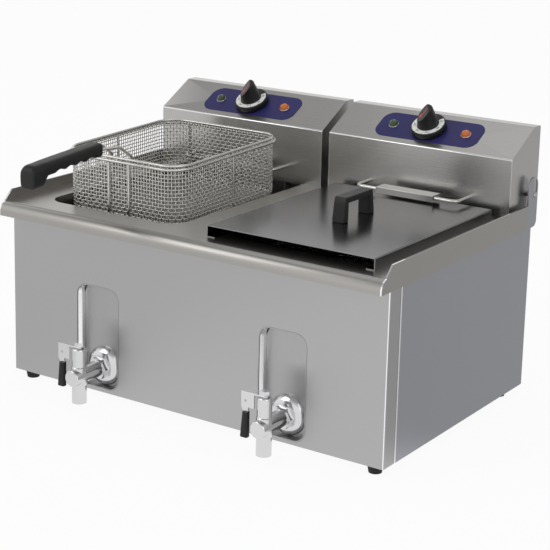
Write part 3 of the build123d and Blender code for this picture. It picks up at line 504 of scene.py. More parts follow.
def printed_plate(name, base, rough):
    """Semi-gloss printed plate with a faint ink mottle."""
    finish = Finish(name, Specular_IOR_Level=0.25)
    vector = finish.coordinates()
    mottle = finish.noise(vector, scale=180.0)
    sweep = finish.noise(vector, scale=14.0, detail=1.0)
    ink = mottle * MOTTLE_SHARE + sweep * (1 - MOTTLE_SHARE)
    finish.feed("Base Color", finish.blend(ink, colour(base, level=0.82), colour(base, level=1.18)))
    finish.feed("Roughness", rough + swing(mottle, amount=0.08))
    finish.feed("Normal", finish.bump(mottle, strength=0.06, distance=0.0002))
    return finish.material


def lens(name, base, rough):
    """Lamp cap under a clear coat, with fine dark specks as of a cast plastic."""
    finish = Finish(name, Coat_Weight=0.6, Coat_Roughness=0.08)
    speck = finish.noise(finish.coordinates(), scale=500.0, detail=2.0)
    finish.feed("Base Color", finish.blend(speck, colour(base, level=0.55), colour(base)))
    finish.feed("Roughness", rough + swing(speck, amount=0.1))
    return finish.material


def dial_print(name, rough):
    """White dial ring with nine long black ticks round its edge and three short ones between each two."""
    finish = Finish(name)
    uv = finish.coordinates("UV")

    def ticks(count, half_width, foot):
        """Mask of strokes from a foot outwards, in the middle of equal steps round the ring."""
        step = finish.fraction(finish.axis(uv, "Y") * count)
        return (step > 0.5 - half_width) * (step < 0.5 + half_width) * (finish.axis(uv, "X") > foot)

    long_ticks = ticks(count=9.0, half_width=0.03, foot=0.74)
    short_ticks = ticks(count=36.0, half_width=0.06, foot=0.88)
    grain = finish.noise(finish.coordinates(), scale=900.0, detail=2.0)
    white = finish.blend(grain, colour((0.80, 0.80, 0.78)), colour((0.88, 0.88, 0.86)))
    ink = finish.larger(long_ticks, short_ticks)
    finish.feed("Base Color", finish.blend(ink, white, colour((0.02, 0.02, 0.02))))
    finish.feed("Roughness", rough + swing(grain, amount=0.08))
    return finish.material


def front_fold_highlight(x, y, z):
    """Mask of the front panel's two upright folds, where a bright line is painted on as a highlight."""
    return ((x > FOLD_X) + (x < -FOLD_X)) * (y < FOLD_DEPTH - ORIGIN_DEPTH)


def head_fold_highlight(sign):
    """Mask of a control head's folds, where highlights are painted on: its two front corners and the knee
    under the sloped panel.
    """
    left = sign * WELL_X - HEAD_HALF + FOLD_DEPTH
    right = sign * WELL_X + HEAD_HALF - FOLD_DEPTH
    front = HEAD_FRONT - ORIGIN_DEPTH + FOLD_DEPTH

    def mask(x, y, z):
        corners = ((x < left) + (x > right)) * (z < KNEE_HEIGHT)
        knee = (z > KNEE_HEIGHT - FOLD_DEPTH) * (z < KNEE_HEIGHT + FOLD_DEPTH)
        return (corners + knee) * (y < front) * HEAD_HIGHLIGHT_LEVEL

    return mask


def panel_edge_highlight(x, y, z):
    """Mask of the side panels' front edge, behind the front panel's return, where a bright seam line is
    painted on as a highlight.
    """
    return y < FRONT_RETURN + PANEL_EDGE - ORIGIN_DEPTH


def flange_edge_highlight(x, y, z):
    """Mask of the cut front ends of the worktop's two side flanges, where a highlight is painted on."""
    right = (x > CABINET_HALF + FLANGE_SKIN) * (x < CABINET_HALF + SIDE_PLATE - FLANGE_SKIN)
    left = (x < -CABINET_HALF - FLANGE_SKIN) * (x > FLANGE_SKIN - CABINET_HALF - SIDE_PLATE)
    return (right + left) * (y < FLANGE_CUT - ORIGIN_DEPTH)


def head_steel(side):
    """Finely brushed sheet of one control head, with highlights painted along its folds."""
    return steel(f"{side}_head_steel", (0.52, 0.51, 0.495), rough=0.28, grain=FINE_ALONG_X, grain_bump=0.004,
                 spread=0.012, polished=head_fold_highlight(SIDES[side]))


FRONT_STEEL = steel("front_steel", (0.445, 0.44, 0.445), rough=0.34, polished=front_fold_highlight)
# Side panels: a darker, bluer copy of the front's steel, as painted shade on the cabinet's sides
SIDE_STEEL = steel("side_steel", (0.405, 0.41, 0.445), rough=0.34, grain=ALONG_Y, polished=panel_edge_highlight)
TOP_STEEL = steel("worktop_steel", (0.41, 0.395, 0.375), rough=0.32, polished=flange_edge_highlight)
HEAD_STEEL = {side: head_steel(side) for side in SIDES}
LID_STEEL = steel("lid_steel", (0.29, 0.29, 0.292), rough=0.20, grain=ALONG_Y, edge=0.7)
TANK_STEEL = steel("tank_steel", (0.45, 0.44, 0.415), rough=0.30)
RECESS_STEEL = steel("recess_steel", (0.42, 0.415, 0.42), rough=0.36)
# Recess lips in near-white steel: a painted highlight on the tap recesses' left and top walls
LIP_STEEL = steel("lip_steel", HIGHLIGHT_STEEL, rough=0.20, grain_bump=0.01, spread=0.01)
ELEMENT_STEEL = steel("element_steel", (0.20, 0.19, 0.18), rough=0.42, grain=ALL_WAYS)
WIRE_STEEL = bright_metal("wire_steel", (0.66, 0.65, 0.62), rough=0.24)
# Basket floor wires: the wall's wire steel at half the brightness, as painted shade inside the basket
SHADED_FLOOR_WIRE = bright_metal("floor_wire", (0.34, 0.33, 0.31), rough=0.34)
TAP_CHROME = bright_metal("tap_chrome", (0.70, 0.70, 0.71), rough=0.14)
BLACK_PLASTIC = moulded("black_plastic", (0.012, 0.012, 0.013), rough=0.42)
BLACK_RUBBER = moulded("black_rubber", (0.012, 0.012, 0.012), rough=0.62, grain=500.0)
BLUE_PLATE = printed_plate("blue_plate", (0.026, 0.024, 0.115), rough=0.34)
LENSES = {
    "green": lens("green_lens", (0.035, 0.075, 0.02), rough=0.18),
    "amber": lens("amber_lens", (0.75, 0.17, 0.012), rough=0.18),
}
BLACK_INK = moulded("black_ink", (0.018, 0.018, 0.018), rough=0.5)
RED_INK = moulded("red_ink", (0.62, 0.025, 0.02), rough=0.4)
DIAL_WHITE = dial_print("dial_white", rough=0.45)


def dress(material, *names):
    """Gives CAD nodes their finish."""
    for name in names:
        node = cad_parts[name]
        node.data.materials.clear()
        node.data.materials.append(material)


def both(*names):
    """The left and right node names of a piece that both halves have."""
    return [f"{side}_{name}" for side in SIDES for name in names]


dress(FRONT_STEEL, "front_panel", "back_panel", "base_plate")
dress(SIDE_STEEL, "left_side_panel", "right_side_panel", "seat_plates")
dress(TOP_STEEL, "worktop")
dress(LID_STEEL, "lid_sheet")
for side, material in HEAD_STEEL.items():
    dress(material, f"{side}_head_shell", f"{side}_head_base", f"{side}_hanger_saddle")
dress(TANK_STEEL, *both("tank", "drain_pipe", "sensor_tube"))
dress(RECESS_STEEL, *both("recess_pan"))
dress(ELEMENT_STEEL, *both("heating_element"))
dress(WIRE_STEEL, *both("hanger_rod", "basket_rim", "basket_frame"), "left_basket_handle_wires")
dress(TAP_CHROME, *both("tap_rosette", "tap_body", "tap_spout", "tap_stem", "tap_lever"))
dress(BLACK_PLASTIC, *both("tap_grip", "cable_gland", "thermostat"), "lid_handle")
dress(BLACK_RUBBER, "feet")
dress(BLUE_PLATE, *both("panel_plate"))


def finish_piece(piece, material, body, slot, *replaced):
    """Material and body of a new piece, and the CAD nodes that it stands for; the slot is not used."""
    piece.data.materials.append(material)
    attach(piece, body)
    if replaced:
        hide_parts(*replaced)


# Woven baskets in place of the plain basket walls

def rounded_outline(half_x, half_y, corner, s):
    """Point, outward normal and tangent at the arc lengths s round a rounded rectangle, and its whole length.

    The line runs counter-clockwise from the middle of the +X side: half a side, then a quarter arc and a side
    in turn, and half a side at the end.
    """
    run_y = half_y - corner
    run_x = half_x - corner
    arc = corner * math.pi / 2
    lengths = np.array([run_y, arc, 2 * run_x, arc, 2 * run_y, arc, 2 * run_x, arc, run_y])
    ends = np.cumsum(lengths)
    s = np.mod(s, ends[-1])
    piece = np.searchsorted(ends, s, side="right")
    along = s - np.concatenate([[0.0], ends])[piece]
    on_arc = piece % 2 == 1
    angle = (piece // 2) * math.pi / 2 + np.where(on_arc, along / corner, 0.0)
    normal = np.stack([np.cos(angle), np.sin(angle)], axis=-1)
    tangent = np.stack([-np.sin(angle), np.cos(angle)], axis=-1)
    sign_x = np.array([1, 1, 0, -1, -1, -1, 0, 1, 1])[piece]
    sign_y = np.array([0, 1, 1, 1, 0, -1, -1, -1, 0])[piece]
    centre = np.stack([sign_x * run_x, sign_y * run_y], axis=-1)
    before = np.array([0, 0, run_x, 0, run_y, 0, run_x, 0, run_y])[piece]
    slide = np.where(on_arc, 0.0, along - before)
    point = centre + normal * corner + tangent * slide[:, None]
    return point, normal, tangent, ends[-1]


def moved(part, to_place):
    """A wire part with its points and directions carried by (turn, offset)."""
    turn, offset = to_place
    centre, normal, across, closed = part
    return centre @ turn.T + offset, normal @ turn.T, across @ turn.T, closed


def woven_basket(name, to_place):
    """Wall and floor of a woven wire basket, in the hanger's frame, moved by to_place.

    The wall is a rounded rectangle carried down a profile that is straight, then turns in by a quarter circle
    to the floor. Upright wires and rings cross at one pitch, and each is pushed in and out along the wall's
    normal by wave * cos(pi * station / 2), so that it passes over one wire and under the next. The floor is
    two sets of wires across the rounded floor, woven in the same way up and down.
    """
    half_x = BASKET_WIDTH / 2 - BASKET_WALL / 2
    half_y = BASKET_LENGTH / 2 - BASKET_WALL / 2
    corner = BASKET_CORNER - BASKET_WALL / 2
    bend = BASKET_FLOOR_RADIUS - BASKET_WALL / 2
    floor = BASKET_FLOOR + BASKET_WALL / 2
    middle = np.array([0.0, BASKET_BACK - BASKET_LENGTH / 2])

    perimeter = rounded_outline(half_x, half_y, corner, np.zeros(1))[3]
    uprights = 2 * round(perimeter / WEAVE_PITCH / 2)
    straight = BASKET_TOP - floor - bend
    total = straight + bend * math.pi / 2
    rings = int(total / WEAVE_PITCH)

    def wall(s, v):
        """Point, normal, ring tangent and downward tangent of the wall at arc lengths s and depths v."""
        point, normal, tangent, _ = rounded_outline(half_x, half_y, corner, s.ravel())
        depth = v.ravel()
        phi = np.clip((depth - straight) / bend, 0.0, math.pi / 2)
        inset = bend * (1 - np.cos(phi))
        z = np.where(depth < straight, BASKET_TOP - depth, floor + bend * (1 - np.sin(phi)))
        flat = point - normal * inset[:, None]
        position = np.concatenate([flat + middle, z[:, None]], axis=-1)
        outward = np.concatenate([normal * np.cos(phi)[:, None], -np.sin(phi)[:, None]], axis=-1)
        down = np.concatenate([-normal * np.sin(phi)[:, None], -np.cos(phi)[:, None]], axis=-1)
        ringward = np.concatenate([tangent, np.zeros_like(z)[:, None]], axis=-1)
        return (array.reshape(*s.shape, 3) for array in (position, outward, ringward, down))

    stations = 2 * rings + 1
    v = np.linspace(0.0, total, stations)
    s = np.arange(uprights) * perimeter / uprights
    position, outward, ringward, _ = wall(*np.meshgrid(s, v, indexing="ij"))
    wave = np.cos(np.arange(stations)[None, :] * math.pi / 2 + np.arange(uprights)[:, None] * math.pi)
    upright_part = (position + outward * (WEAVE_WAVE * wave)[:, :, None], outward, ringward, False)

    ring_v = v[2::2]
    ring_s = np.arange(2 * uprights) * perimeter / (2 * uprights)
    grid_v, grid_s = np.meshgrid(ring_v, ring_s, indexing="ij")
    position, outward, _, down = wall(grid_s, grid_v)
    wave = -np.cos(np.arange(2 * uprights)[None, :] * math.pi / 2
                   + (np.arange(len(ring_v)) + 1)[:, None] * math.pi)
    ring_part = (position + outward * (WEAVE_WAVE * wave)[:, :, None], outward, -down, True)
    wall_piece = wires(name + "_weave_wall", [moved(upright_part, to_place), moved(ring_part, to_place)])

    floor_x = half_x - bend
    floor_y = half_y - bend
    floor_corner = corner - bend

    def floor_wires(half_along, half_across, swap, phase):
        """Wires along one direction of the floor, each as long as the rounded floor is there."""
        count = int(2 * half_across / WEAVE_PITCH)
        cross = (np.arange(count) - (count - 1) / 2) * WEAVE_PITCH
        over = np.clip(np.abs(cross) - (half_across - floor_corner), 0.0, floor_corner)
        reach = half_along - floor_corner + np.sqrt(floor_corner ** 2 - over ** 2)
        stations = 2 * int(2 * half_along / WEAVE_PITCH) + 1
        along = np.linspace(-1.0, 1.0, stations)[None, :] * reach[:, None]
        wave = np.cos(along / WEAVE_PITCH * math.pi + np.arange(count)[:, None] * math.pi + phase)
        x, y = (cross[:, None] + 0 * along, along) if swap else (along, cross[:, None] + 0 * along)
        centre = np.stack([x + middle[0], y + middle[1], floor + WEAVE_WAVE * wave], axis=-1)
        up = np.broadcast_to(np.array([0.0, 0.0, 1.0]), centre.shape)
        side = np.array([-1.0, 0.0, 0.0]) if swap else np.array([0.0, 1.0, 0.0])
        return centre, up, np.broadcast_to(side, centre.shape), False

    floor_piece = wires(name + "_weave_floor", [
        moved(floor_wires(floor_x, floor_y, swap=False, phase=0.0), to_place),
        moved(floor_wires(floor_y, floor_x, swap=True, phase=math.pi), to_place),
    ])
    finish_piece(wall_piece, WIRE_STEEL, name, "wire_steel", name + "_mesh")
    # The floor wires take the darker wire steel, painted shade of the basket's inside
    finish_piece(floor_piece, SHADED_FLOOR_WIRE, name, "wire_steel")


def basket_grip(to_place):
    """Moulded grip: rounded-square sections, (cos t) ** 0.5 by (sin t) ** 0.5, along the handle.

    The top falls evenly and ends in a quarter-circle nose. The underside has finger grooves, each a parabola
    1 - (2 f) ** 2 of its share f of the pitch, and a smooth step down to the hook at the front.
    """
    t = np.linspace(0.0, math.pi, GRIP_STATIONS)
    s = GRIP_LENGTH * (1 - np.cos(t)) / 2
    past = np.clip(s - (GRIP_LENGTH - GRIP_NOSE), 0.0, GRIP_NOSE)
    nose = GRIP_NOSE - np.sqrt(GRIP_NOSE ** 2 - past ** 2)
    finger = (s - FINGER_START) / FINGER_PITCH + 0.5
    share = np.mod(finger, 1.0) - 0.5
    groove = np.where((finger > 0) & (finger < FINGERS), FINGER_DEPTH * (1 - (2 * share) ** 2), 0.0)
    step = np.clip((s - (GRIP_LENGTH - HOOK_LENGTH - HOOK_DROP / 2)) / HOOK_DROP, 0.0, 1.0)
    near_end = np.clip(np.minimum(s, GRIP_LENGTH - s), 0.0, GRIP_EDGE)
    inset = GRIP_EDGE - np.sqrt(GRIP_EDGE ** 2 - (GRIP_EDGE - near_end) ** 2)
    high = GRIP_TOP - GRIP_FALL * s - nose - inset
    low = GRIP_TOP - GRIP_DEPTH - GRIP_FALL * s + groove - HOOK_DROP * step ** 2 * (3 - 2 * step) + inset
    half = GRIP_WIDTH / 2 - inset
    ends = [0, *range(len(s)), len(s) - 1]
    solid = np.ones(len(ends))
    solid[[0, -1]] = 0.0
    angle = ring_angles(GRIP_SIDES)
    across = np.sign(np.cos(angle)) * np.sqrt(np.abs(np.cos(angle)))
    upward = np.sign(np.sin(angle)) * np.sqrt(np.abs(np.sin(angle)))
    x = (half[ends] * solid)[:, None] * across
    y = np.repeat((GRIP_BACK - s[ends])[:, None], GRIP_SIDES, axis=1)
    z = ((high + low) / 2)[ends][:, None] + (((high - low) / 2)[ends] * solid)[:, None] * upward
    turn, offset = to_place
    points = np.stack([x, y, z], axis=-1) @ turn.T + offset
    grip = merged(surface("left_basket_grip_moulding", points, wrap_columns=True))
    finish_piece(grip, BLACK_PLASTIC, "left_basket", "black_plastic", "left_basket_grip")


hung = (turned(BASKET_DROOP, "X"), place(-WELL_X + HANGER_SHIFT, ROD_DEPTH, ROD_HEIGHT))
standing = (np.eye(3), place(WELL_X, ROD_DEPTH - STANDING_SHIFT, STANDING_HEIGHT))
woven_basket("left_basket", hung)
woven_basket("right_basket", standing)
basket_grip(hung)


# Lamps and knobs, in the panel's frame: x along the head, y up the slope, z out of the sloped panel
PANEL_TURN = np.array([
    [1.0, 0.0, 0.0],
    [0.0, math.cos(PANEL_SLOPE), -math.sin(PANEL_SLOPE)],
    [0.0, math.sin(PANEL_SLOPE), math.cos(PANEL_SLOPE)],
])


def panel_point(side, along, out):
    """Model point of a place on the middle line of a head's sloped panel."""
    return place(SIDES[side] * WELL_X, PANEL_DEPTH, PANEL_HEIGHT) + PANEL_TURN @ np.array([along, 0.0, out])


def on_knob(side, points):
    """Model points of places given from the middle of a knob's underside."""
    return points @ PANEL_TURN.T + panel_point(side, 0.0, PLATE_THICKNESS + KNOB_LIFT)


def lamp(side, tint, along):
    """Lamp as two surfaces of revolution: a slim chrome ring with its threaded body, and a faceted cap whose
    radius falls as cos(t) ** 0.8 while its height rises as sin(t)."""
    name = f"{side}_{tint}"
    centre = panel_point(side, along, PLATE_THICKNESS)
    ring = [(0.0, -LAMP_BODY_LENGTH), (LAMP_BODY, -LAMP_BODY_LENGTH), (LAMP_BODY, 0.0),
            (BEZEL_RADIUS, 0.0), (BEZEL_RADIUS, BEZEL_EDGE_HEIGHT),
            (BEZEL_FACE_RADIUS, BEZEL_FACE_HEIGHT), (0.0, BEZEL_FACE_HEIGHT)]
    bezel = revolved(name + "_bezel", ring, centre, PANEL_TURN, BEZEL_SIDES, smooth=False)
    finish_piece(bezel, TAP_CHROME, f"{side}_head", "chrome", name + "_lamp")
    t = np.linspace(0.0, math.pi / 2, CAP_RINGS)
    foot = [(0.0, CAP_FOOT_LOW), (CAP_FOOT_RADIUS, CAP_FOOT_LOW), (CAP_FOOT_RADIUS, CAP_FOOT_HIGH)]
    dome = np.stack([CAP_DOME_RADIUS * np.cos(t) ** CAP_DOME_POWER,
                     CAP_DOME_FOOT + CAP_DOME_HEIGHT * np.sin(t)], axis=-1)
    cap = revolved(name + "_cap", np.concatenate([foot, dome]), centre, PANEL_TURN, CAP_FACETS, smooth=False)
    finish_piece(cap, LENSES[tint], f"{side}_head", f"{tint}_lens")


def knob_face(along):
    """Height of the knob's slanted face at a distance along its pointer's line."""
    return KNOB_SKIRT + KNOB_GRIP_HEIGHT + (along - KNOB_FACE_CREST) * math.tan(KNOB_FACE_SLOPE)


def rounded_edge(radius, height, size):
    """(radius, height) profile points of a quarter circle that turns in at the top of an upright wall."""
    t = np.linspace(0.0, math.pi / 2, KNOB_ROUND_RINGS)
    return np.stack([radius - size * (1 - np.cos(t)), height - size * (1 - np.sin(t))], axis=-1)


def knob(side):
    """Knob with a flat skirt and a tapered grip that slants off on its pointer side.

    A (radius, height) profile is turned about the knob's axis, and the grip's height z is then pressed down
    on the slanted face by a soft minimum: -soft * log(exp(-z / soft) + exp(-face / soft)).
    """
    top = KNOB_SKIRT + KNOB_GRIP_HEIGHT
    rise = np.linspace(0.0, 1.0, KNOB_GRIP_RINGS)
    skirt = np.array([[0.0, 0.0], [KNOB_RADIUS - KNOB_CHAMFER, 0.0], [KNOB_RADIUS, KNOB_CHAMFER]])
    edge = rounded_edge(KNOB_RADIUS, KNOB_SKIRT, KNOB_SKIRT_ROUND)
    third = KNOB_FOOT_FILLET / 3
    foot = np.array([[KNOB_GRIP_FOOT + KNOB_FOOT_FILLET, KNOB_SKIRT],
                     [KNOB_GRIP_FOOT + third, KNOB_SKIRT + third]])
    grip = np.stack([KNOB_GRIP_FOOT + (KNOB_GRIP_TOP - KNOB_GRIP_FOOT) * rise,
                     KNOB_SKIRT + (KNOB_GRIP_HEIGHT - KNOB_GRIP_ROUND) * rise], axis=-1)
    shoulder = rounded_edge(KNOB_GRIP_TOP, top, KNOB_GRIP_ROUND)
    crown = np.stack([np.linspace(KNOB_GRIP_TOP - KNOB_GRIP_ROUND, 0.0, KNOB_CROWN_RINGS),
                      np.full(KNOB_CROWN_RINGS, top)], axis=-1)
    profile = np.concatenate([skirt, edge, foot, grip[1:], shoulder[1:], crown[1:]])
    angle = ring_angles(KNOB_SIDES)
    x = profile[:, :1] * np.cos(angle)
    y = profile[:, :1] * np.sin(angle)
    z = np.repeat(profile[:, 1:], KNOB_SIDES, axis=1)
    pressed = -KNOB_FACE_SOFT * np.logaddexp(-z / KNOB_FACE_SOFT, -knob_face(y) / KNOB_FACE_SOFT)
    lowest = KNOB_SKIRT + KNOB_FACE_FLOOR
    z = np.where(z > lowest, np.maximum(pressed, lowest), z)
    points = np.stack([x, y, z], axis=-1) @ turned(KNOB_POINTER_TURN, "Z").T
    piece = merged(surface(f"{side}_knob_cap", on_knob(side, points), wrap_columns=True))
    finish_piece(piece, BLACK_PLASTIC, f"{side}_knob", "black_plastic", f"{side}_knob")


def dial_ring(side):
    """Printed ring on the knob's skirt: a band of 270 degrees between two radii, open up the slope."""
    radius = np.linspace(DIAL_INNER, DIAL_OUTER, DIAL_RINGS)[:, None]
    angle = np.radians(np.linspace(DIAL_START, DIAL_END, DIAL_STEPS))
    z = np.full((DIAL_RINGS, DIAL_STEPS), KNOB_SKIRT + PRINT_LIFT)
    points = np.stack([radius * np.cos(angle), radius * np.sin(angle), z], axis=-1)
    ring = surface(f"{side}_dial_ring", on_knob(side, points), smooth=False)
    finish_piece(printed(ring), DIAL_WHITE, f"{side}_knob", "black_plastic")


def number_mesh(number):
    """Points and triangles of a number's filled text, centred on the origin in the XY plane."""
    letters = bpy.data.curves.new(number, "FONT")
    letters.body = number
    letters.size = NUMBER_SIZE
    letters.align_x = "CENTER"
    letters.align_y = "CENTER"
    letters.resolution_u = NUMBER_CURVE_STEPS
    text = bpy.data.objects.new(number, letters)
    flat = bpy.data.meshes.new_from_object(text)
    points = np.empty(3 * len(flat.vertices))
    flat.vertices.foreach_get("co", points)
    flat.calc_loop_triangles()
    triangles = np.empty(3 * len(flat.loop_triangles), dtype=np.int32)
    flat.loop_triangles.foreach_get("vertices", triangles)
    bpy.data.objects.remove(text)
    bpy.data.curves.remove(letters)
    bpy.data.meshes.remove(flat)
    return points.reshape(-1, 3), triangles.reshape(-1, 3)


def dial_numbers(side):
    """Numbers round the dial ring, each stood on a circle with its foot towards the knob's middle: a point p
    of the text goes to turn(angle - 90 degrees) @ p + radius * (cos angle, sin angle)."""
    all_points = []
    all_triangles = []
    start = 0
    steps = np.radians(np.linspace(DIAL_END - NUMBER_MARGIN, DIAL_START + NUMBER_MARGIN, len(DIAL_NUMBERS)))
    for number, angle in zip(DIAL_NUMBERS, steps):
        points, triangles = number_mesh(number)
        centre = np.array([NUMBER_RADIUS * math.cos(angle), NUMBER_RADIUS * math.sin(angle),
                           KNOB_SKIRT + NUMBER_LIFT])
        all_points.append(points @ turned(angle - math.pi / 2, "Z").T + centre)
        all_triangles.append(triangles + start)
        start += len(points)
    piece = mesh_object(f"{side}_dial_numbers", on_knob(side, np.concatenate(all_points)),
                        np.concatenate(all_triangles), smooth=False)
    finish_piece(printed(merged(piece)), BLACK_INK, f"{side}_knob", "black_plastic")


def pointer(side):
    """Red mark on the knob's slanted face: a drop shape, wide at the low end and narrowing to a line.

    Along the face t runs 0 to 1 from the low end to the crest. The half width is the round head's, head *
    sqrt(1 - ((t - share) / share) ** 2), and past the head's middle at least the neck's.
    """
    t = np.linspace(0.0, 1.0, POINTER_STATIONS)
    from_middle = (t - POINTER_HEAD_SHARE) / POINTER_HEAD_SHARE
    head = POINTER_HEAD * np.sqrt(np.clip(1 - from_middle ** 2, 0.0, 1.0))
    half = np.maximum(head, np.where(t > POINTER_HEAD_SHARE, POINTER_NECK, 0.0))
    x = half[:, None] * np.linspace(1.0, -1.0, POINTER_COLUMNS)
    y = np.repeat((POINTER_LOW + POINTER_LENGTH * t)[:, None], POINTER_COLUMNS, axis=1)
    points = np.stack([x, y, knob_face(y) + PRINT_LIFT], axis=-1) @ turned(KNOB_POINTER_TURN, "Z").T
    mark = merged(surface(f"{side}_pointer", on_knob(side, points), smooth=False))
    finish_piece(printed(mark), RED_INK, f"{side}_knob", "black_plastic")


# Tap recesses and levers

def recess_lip(side):
    """Pressed lip leaning in from a tap recess's left and top edge, in steel painted near-white as a
    highlight.

    Its line goes up the left edge, round a quarter circle and along the top. Its section leans from the edge
    to the lip's width and depth, then runs straight to the pan's back, and shrinks to nothing at both ends.
    """
    rise = RECESS_TOP - RECESS_CORNER - LIP_FOOT
    arc = RECESS_CORNER * math.pi / 2
    s = np.linspace(0.0, rise + arc + LIP_RUN, LIP_STATIONS)
    turn = np.clip((s - rise) / RECESS_CORNER, 0.0, math.pi / 2)
    x = -RECESS_HALF + RECESS_CORNER * (1 - np.cos(turn)) + np.clip(s - rise - arc, 0.0, None)
    z = LIP_FOOT + np.minimum(s, rise) + RECESS_CORNER * np.sin(turn)
    inward = np.stack([np.cos(turn), 0 * s, -np.sin(turn)], axis=-1)
    grow = np.clip(s / (2 * LIP_WIDTH), 0.0, 1.0)
    fade = np.clip((s[-1] - s) / (arc + LIP_RUN), 0.0, 1.0)
    size = (grow * grow * (3 - 2 * grow) * fade)[:, None]
    edge = np.stack([x, 0 * s, z], axis=-1) + place(SIDES[side] * WELL_X, 0.0, 0.0)
    leant = np.array([0.0, LIP_DEPTH, 0.0]) * size
    back = np.array([0.0, LIP_BACK, 0.0]) * size
    wide = inward * LIP_WIDTH * size
    ring = np.stack([edge, edge + back, edge + back + wide, edge + leant + wide], axis=1)
    lip = merged(surface(f"{side}_recess_lip", ring, wrap_columns=True, smooth=False))
    finish_piece(lip, LIP_STEEL, "cabinet", "stainless")


def rivet(side):
    """Domed rivet on the tap lever's apron, facing the front: a quarter ellipse turned about its axis."""
    t = np.linspace(0.0, math.pi / 2, RIVET_RINGS)
    dome = np.stack([RIVET_RADIUS * np.cos(t), RIVET_HEIGHT * np.sin(t)], axis=-1)
    profile = np.concatenate([[[0.0, 0.0]], dome])
    centre = place(SIDES[side] * WELL_X + TAP_SHIFT - LEVER_REACH + RIVET_INSET, -TAP_REACH - LEVER_WIDTH / 2,
                   TAP_HEIGHT + LEVER_TOP - RIVET_DROP)
    stud = revolved(f"{side}_lever_rivet", profile, centre, turned(math.pi / 2, "X"), RIVET_SIDES)
    finish_piece(stud, TANK_STEEL, f"{side}_tap", "chrome")


for side in SIDES:
    lamp(side, "green", -LAMP_OFFSET)
    lamp(side, "amber", LAMP_OFFSET)
    knob(side)
    dial_ring(side)
    dial_numbers(side)
    pointer(side)
    recess_lip(side)
    rivet(side)


def soften(width, *names):
    """Welds a CAD node's loose triangles and rounds its sharp edges, both as modifiers."""
    for name in names:
        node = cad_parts[name]
        weld = node.modifiers.new("weld", "WELD")
        weld.merge_threshold = WELD_DISTANCE
        bevel = node.modifiers.new("edge", "BEVEL")
        bevel.width = width
        bevel.segments = EDGE_SEGMENTS
        bevel.limit_method = "ANGLE"
        bevel.angle_limit = EDGE_ANGLE
        bevel.harden_normals = True


soften(SHEET_EDGE, "worktop", "lid_sheet", "front_panel", "seat_plates",
       *both("head_shell", "tap_body", "tap_lever", "hanger_saddle"))
soften(HANDLE_EDGE, "lid_handle")


# Studio: pale floor, white surround, large soft lamps
SURROUND_LEVEL = 0.68
CEILING_START = 0.35
CEILING_END = 0.85
CEILING_LEVEL = 0.37
FAR_SIDE = (0.555, 0.832, 0.0)
FAR_LEVEL = 0.55
LEFT_LEVEL = 0.84
SKY_FAR_START = 0.3
SKY_FAR_END = 0.9
FLOOR_FAR_START = 0.04
FLOOR_FAR_END = 0.24
FLOOR_LEFT_START = -0.4
FLOOR_LEFT_END = -0.05
FLOOR_HALF = 6.0
FLOOR_DROP = 0.0002
FLOOR_WHITE = (0.86, 0.86, 0.86)
FLOOR_GLOW = 0.93
LAMP_AIM = (0.0, 0.0, 0.2)


def white_surround():
    """World that is white to the camera, dims overhead and on the far side in reflections, as a studio does,
    and lights the object softly."""
    world = bpy.data.worlds.new("studio")
    bpy.context.scene.world = world
    world.use_nodes = True
    sky = Nodes(world.node_tree)
    direction = sky.coordinates("Generated")
    camera = sky.ray("Is Camera Ray")
    mirrored = sky.larger(sky.ray("Is Glossy Ray"), sky.ray("Is Transmission Ray"))
    ceiling = sky.eased(sky.axis(direction, "Z"), CEILING_START, CEILING_END, 1.0, CEILING_LEVEL)
    far = sky.eased(sky.along(direction, FAR_SIDE), SKY_FAR_START, SKY_FAR_END, 1.0, FAR_LEVEL)
    lit = (1 - sky.larger(camera, mirrored)) * SURROUND_LEVEL
    strength = sky.larger(camera, mirrored * ceiling * far) + lit
    background = sky.tree.nodes["Background"]
    background.inputs["Color"].default_value = WHITE
    sky.tree.links.new(strength.socket, background.inputs["Strength"])


def pale_floor():
    """Flat floor just under z = 0, white to the camera and in reflections where no shadow falls, and dimmer
    in reflections on its far side and on its left."""
    line = np.linspace(-FLOOR_HALF, FLOOR_HALF, 3)
    x, y = np.meshgrid(line, line, indexing="ij")
    floor = surface("studio_floor", np.stack([x, y, 0 * x - FLOOR_DROP], axis=-1), smooth=False)
    finish = Finish("floor_white", Base_Color=colour(FLOOR_WHITE), Roughness=0.9)
    spot = finish.coordinates()
    far = finish.eased(finish.along(spot, FAR_SIDE), FLOOR_FAR_START, FLOOR_FAR_END, 0.0, 1 - FAR_LEVEL)
    left = finish.eased(finish.axis(spot, "X"), FLOOR_LEFT_START, FLOOR_LEFT_END, 1 - LEFT_LEVEL, 0.0)
    glossy = finish.ray("Is Glossy Ray")
    mirrored = finish.larger(glossy, finish.ray("Is Transmission Ray"))
    seen = finish.larger(finish.ray("Is Camera Ray"), mirrored)
    glow = finish.node("ShaderNodeEmission", {}, {"Color": finish.blend(glossy * (far + left), WHITE, BLACK)})
    matt = Value(finish, finish.shader.outputs[0])
    mix = finish.node("ShaderNodeMixShader", {}, {0: seen * FLOOR_GLOW, 1: matt, 2: glow})
    finish.tree.links.new(mix.socket, finish.tree.nodes["Material Output"].inputs["Surface"])
    floor.data.materials.append(finish.material)


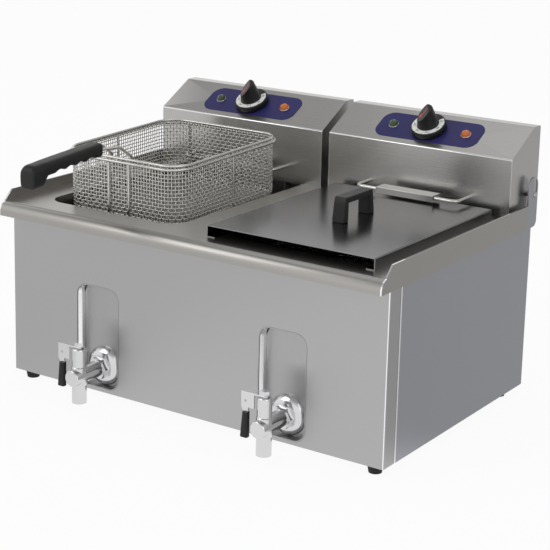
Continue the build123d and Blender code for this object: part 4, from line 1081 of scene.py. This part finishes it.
def soft_lamp(name, spot, size, power):
    """Square area lamp at a spot, aimed at the object."""
    data = bpy.data.lights.new(name, "AREA")
    data.shape = "SQUARE"
    data.size = size
    data.energy = power
    lamp_object = bpy.data.objects.new(name, data)
    lamp_object.location = spot
    lamp_object.rotation_euler = (Vector(LAMP_AIM) - Vector(spot)).to_track_quat("-Z", "Y").to_euler()
    bpy.context.scene.collection.objects.link(lamp_object)


white_surround()
pale_floor()
soft_lamp("key", (-1.6, -2.2, 2.2), size=1.8, power=16.0)
soft_lamp("fill", (2.4, -1.2, 1.6), size=1.8, power=6.0)
soft_lamp("top", (0.0, 0.4, 2.6), size=2.2, power=6.0)


# Camera at the photograph's viewing angle
CAMERA_AZIMUTH = math.radians(33.681)
CAMERA_ELEVATION = math.radians(13.557)
CAMERA_ROLL = math.radians(1.395)
CAMERA_DISTANCE = 2.1602
CAMERA_TARGET = (0.0478, 0.0, 0.2962)
CAMERA_SHIFT = -0.15
CAMERA_REACH = 50.0
SENSOR_WIDTH = 36.0
IMAGE_PIXELS = 550.0
FOCAL_PIXELS = 1639.2


def photo_camera():
    """Camera turned by azimuth and elevation round a target, with the photograph's slight roll."""
    level = math.cos(CAMERA_ELEVATION)
    forward = Vector((-math.sin(CAMERA_AZIMUTH) * level, math.cos(CAMERA_AZIMUTH) * level,
                      -math.sin(CAMERA_ELEVATION)))
    right = Vector((math.cos(CAMERA_AZIMUTH), math.sin(CAMERA_AZIMUTH), 0.0))
    up = right.cross(forward)
    right_rolled = math.cos(CAMERA_ROLL) * right + math.sin(CAMERA_ROLL) * up
    up_rolled = math.cos(CAMERA_ROLL) * up - math.sin(CAMERA_ROLL) * right
    data = bpy.data.cameras.new("camera")
    data.sensor_width = SENSOR_WIDTH
    data.lens = FOCAL_PIXELS / IMAGE_PIXELS * SENSOR_WIDTH
    data.shift_y = CAMERA_SHIFT
    data.clip_end = CAMERA_REACH
    camera = bpy.data.objects.new("camera", data)
    bpy.context.scene.collection.objects.link(camera)
    turn = Matrix((right_rolled, up_rolled, -forward)).transposed()
    spot = Vector(CAMERA_TARGET) - forward * CAMERA_DISTANCE
    camera.matrix_world = Matrix.Translation(spot) @ turn.to_4x4()
    bpy.context.scene.camera = camera


photo_camera()
bpy.context.scene.view_settings.view_transform = "Standard"
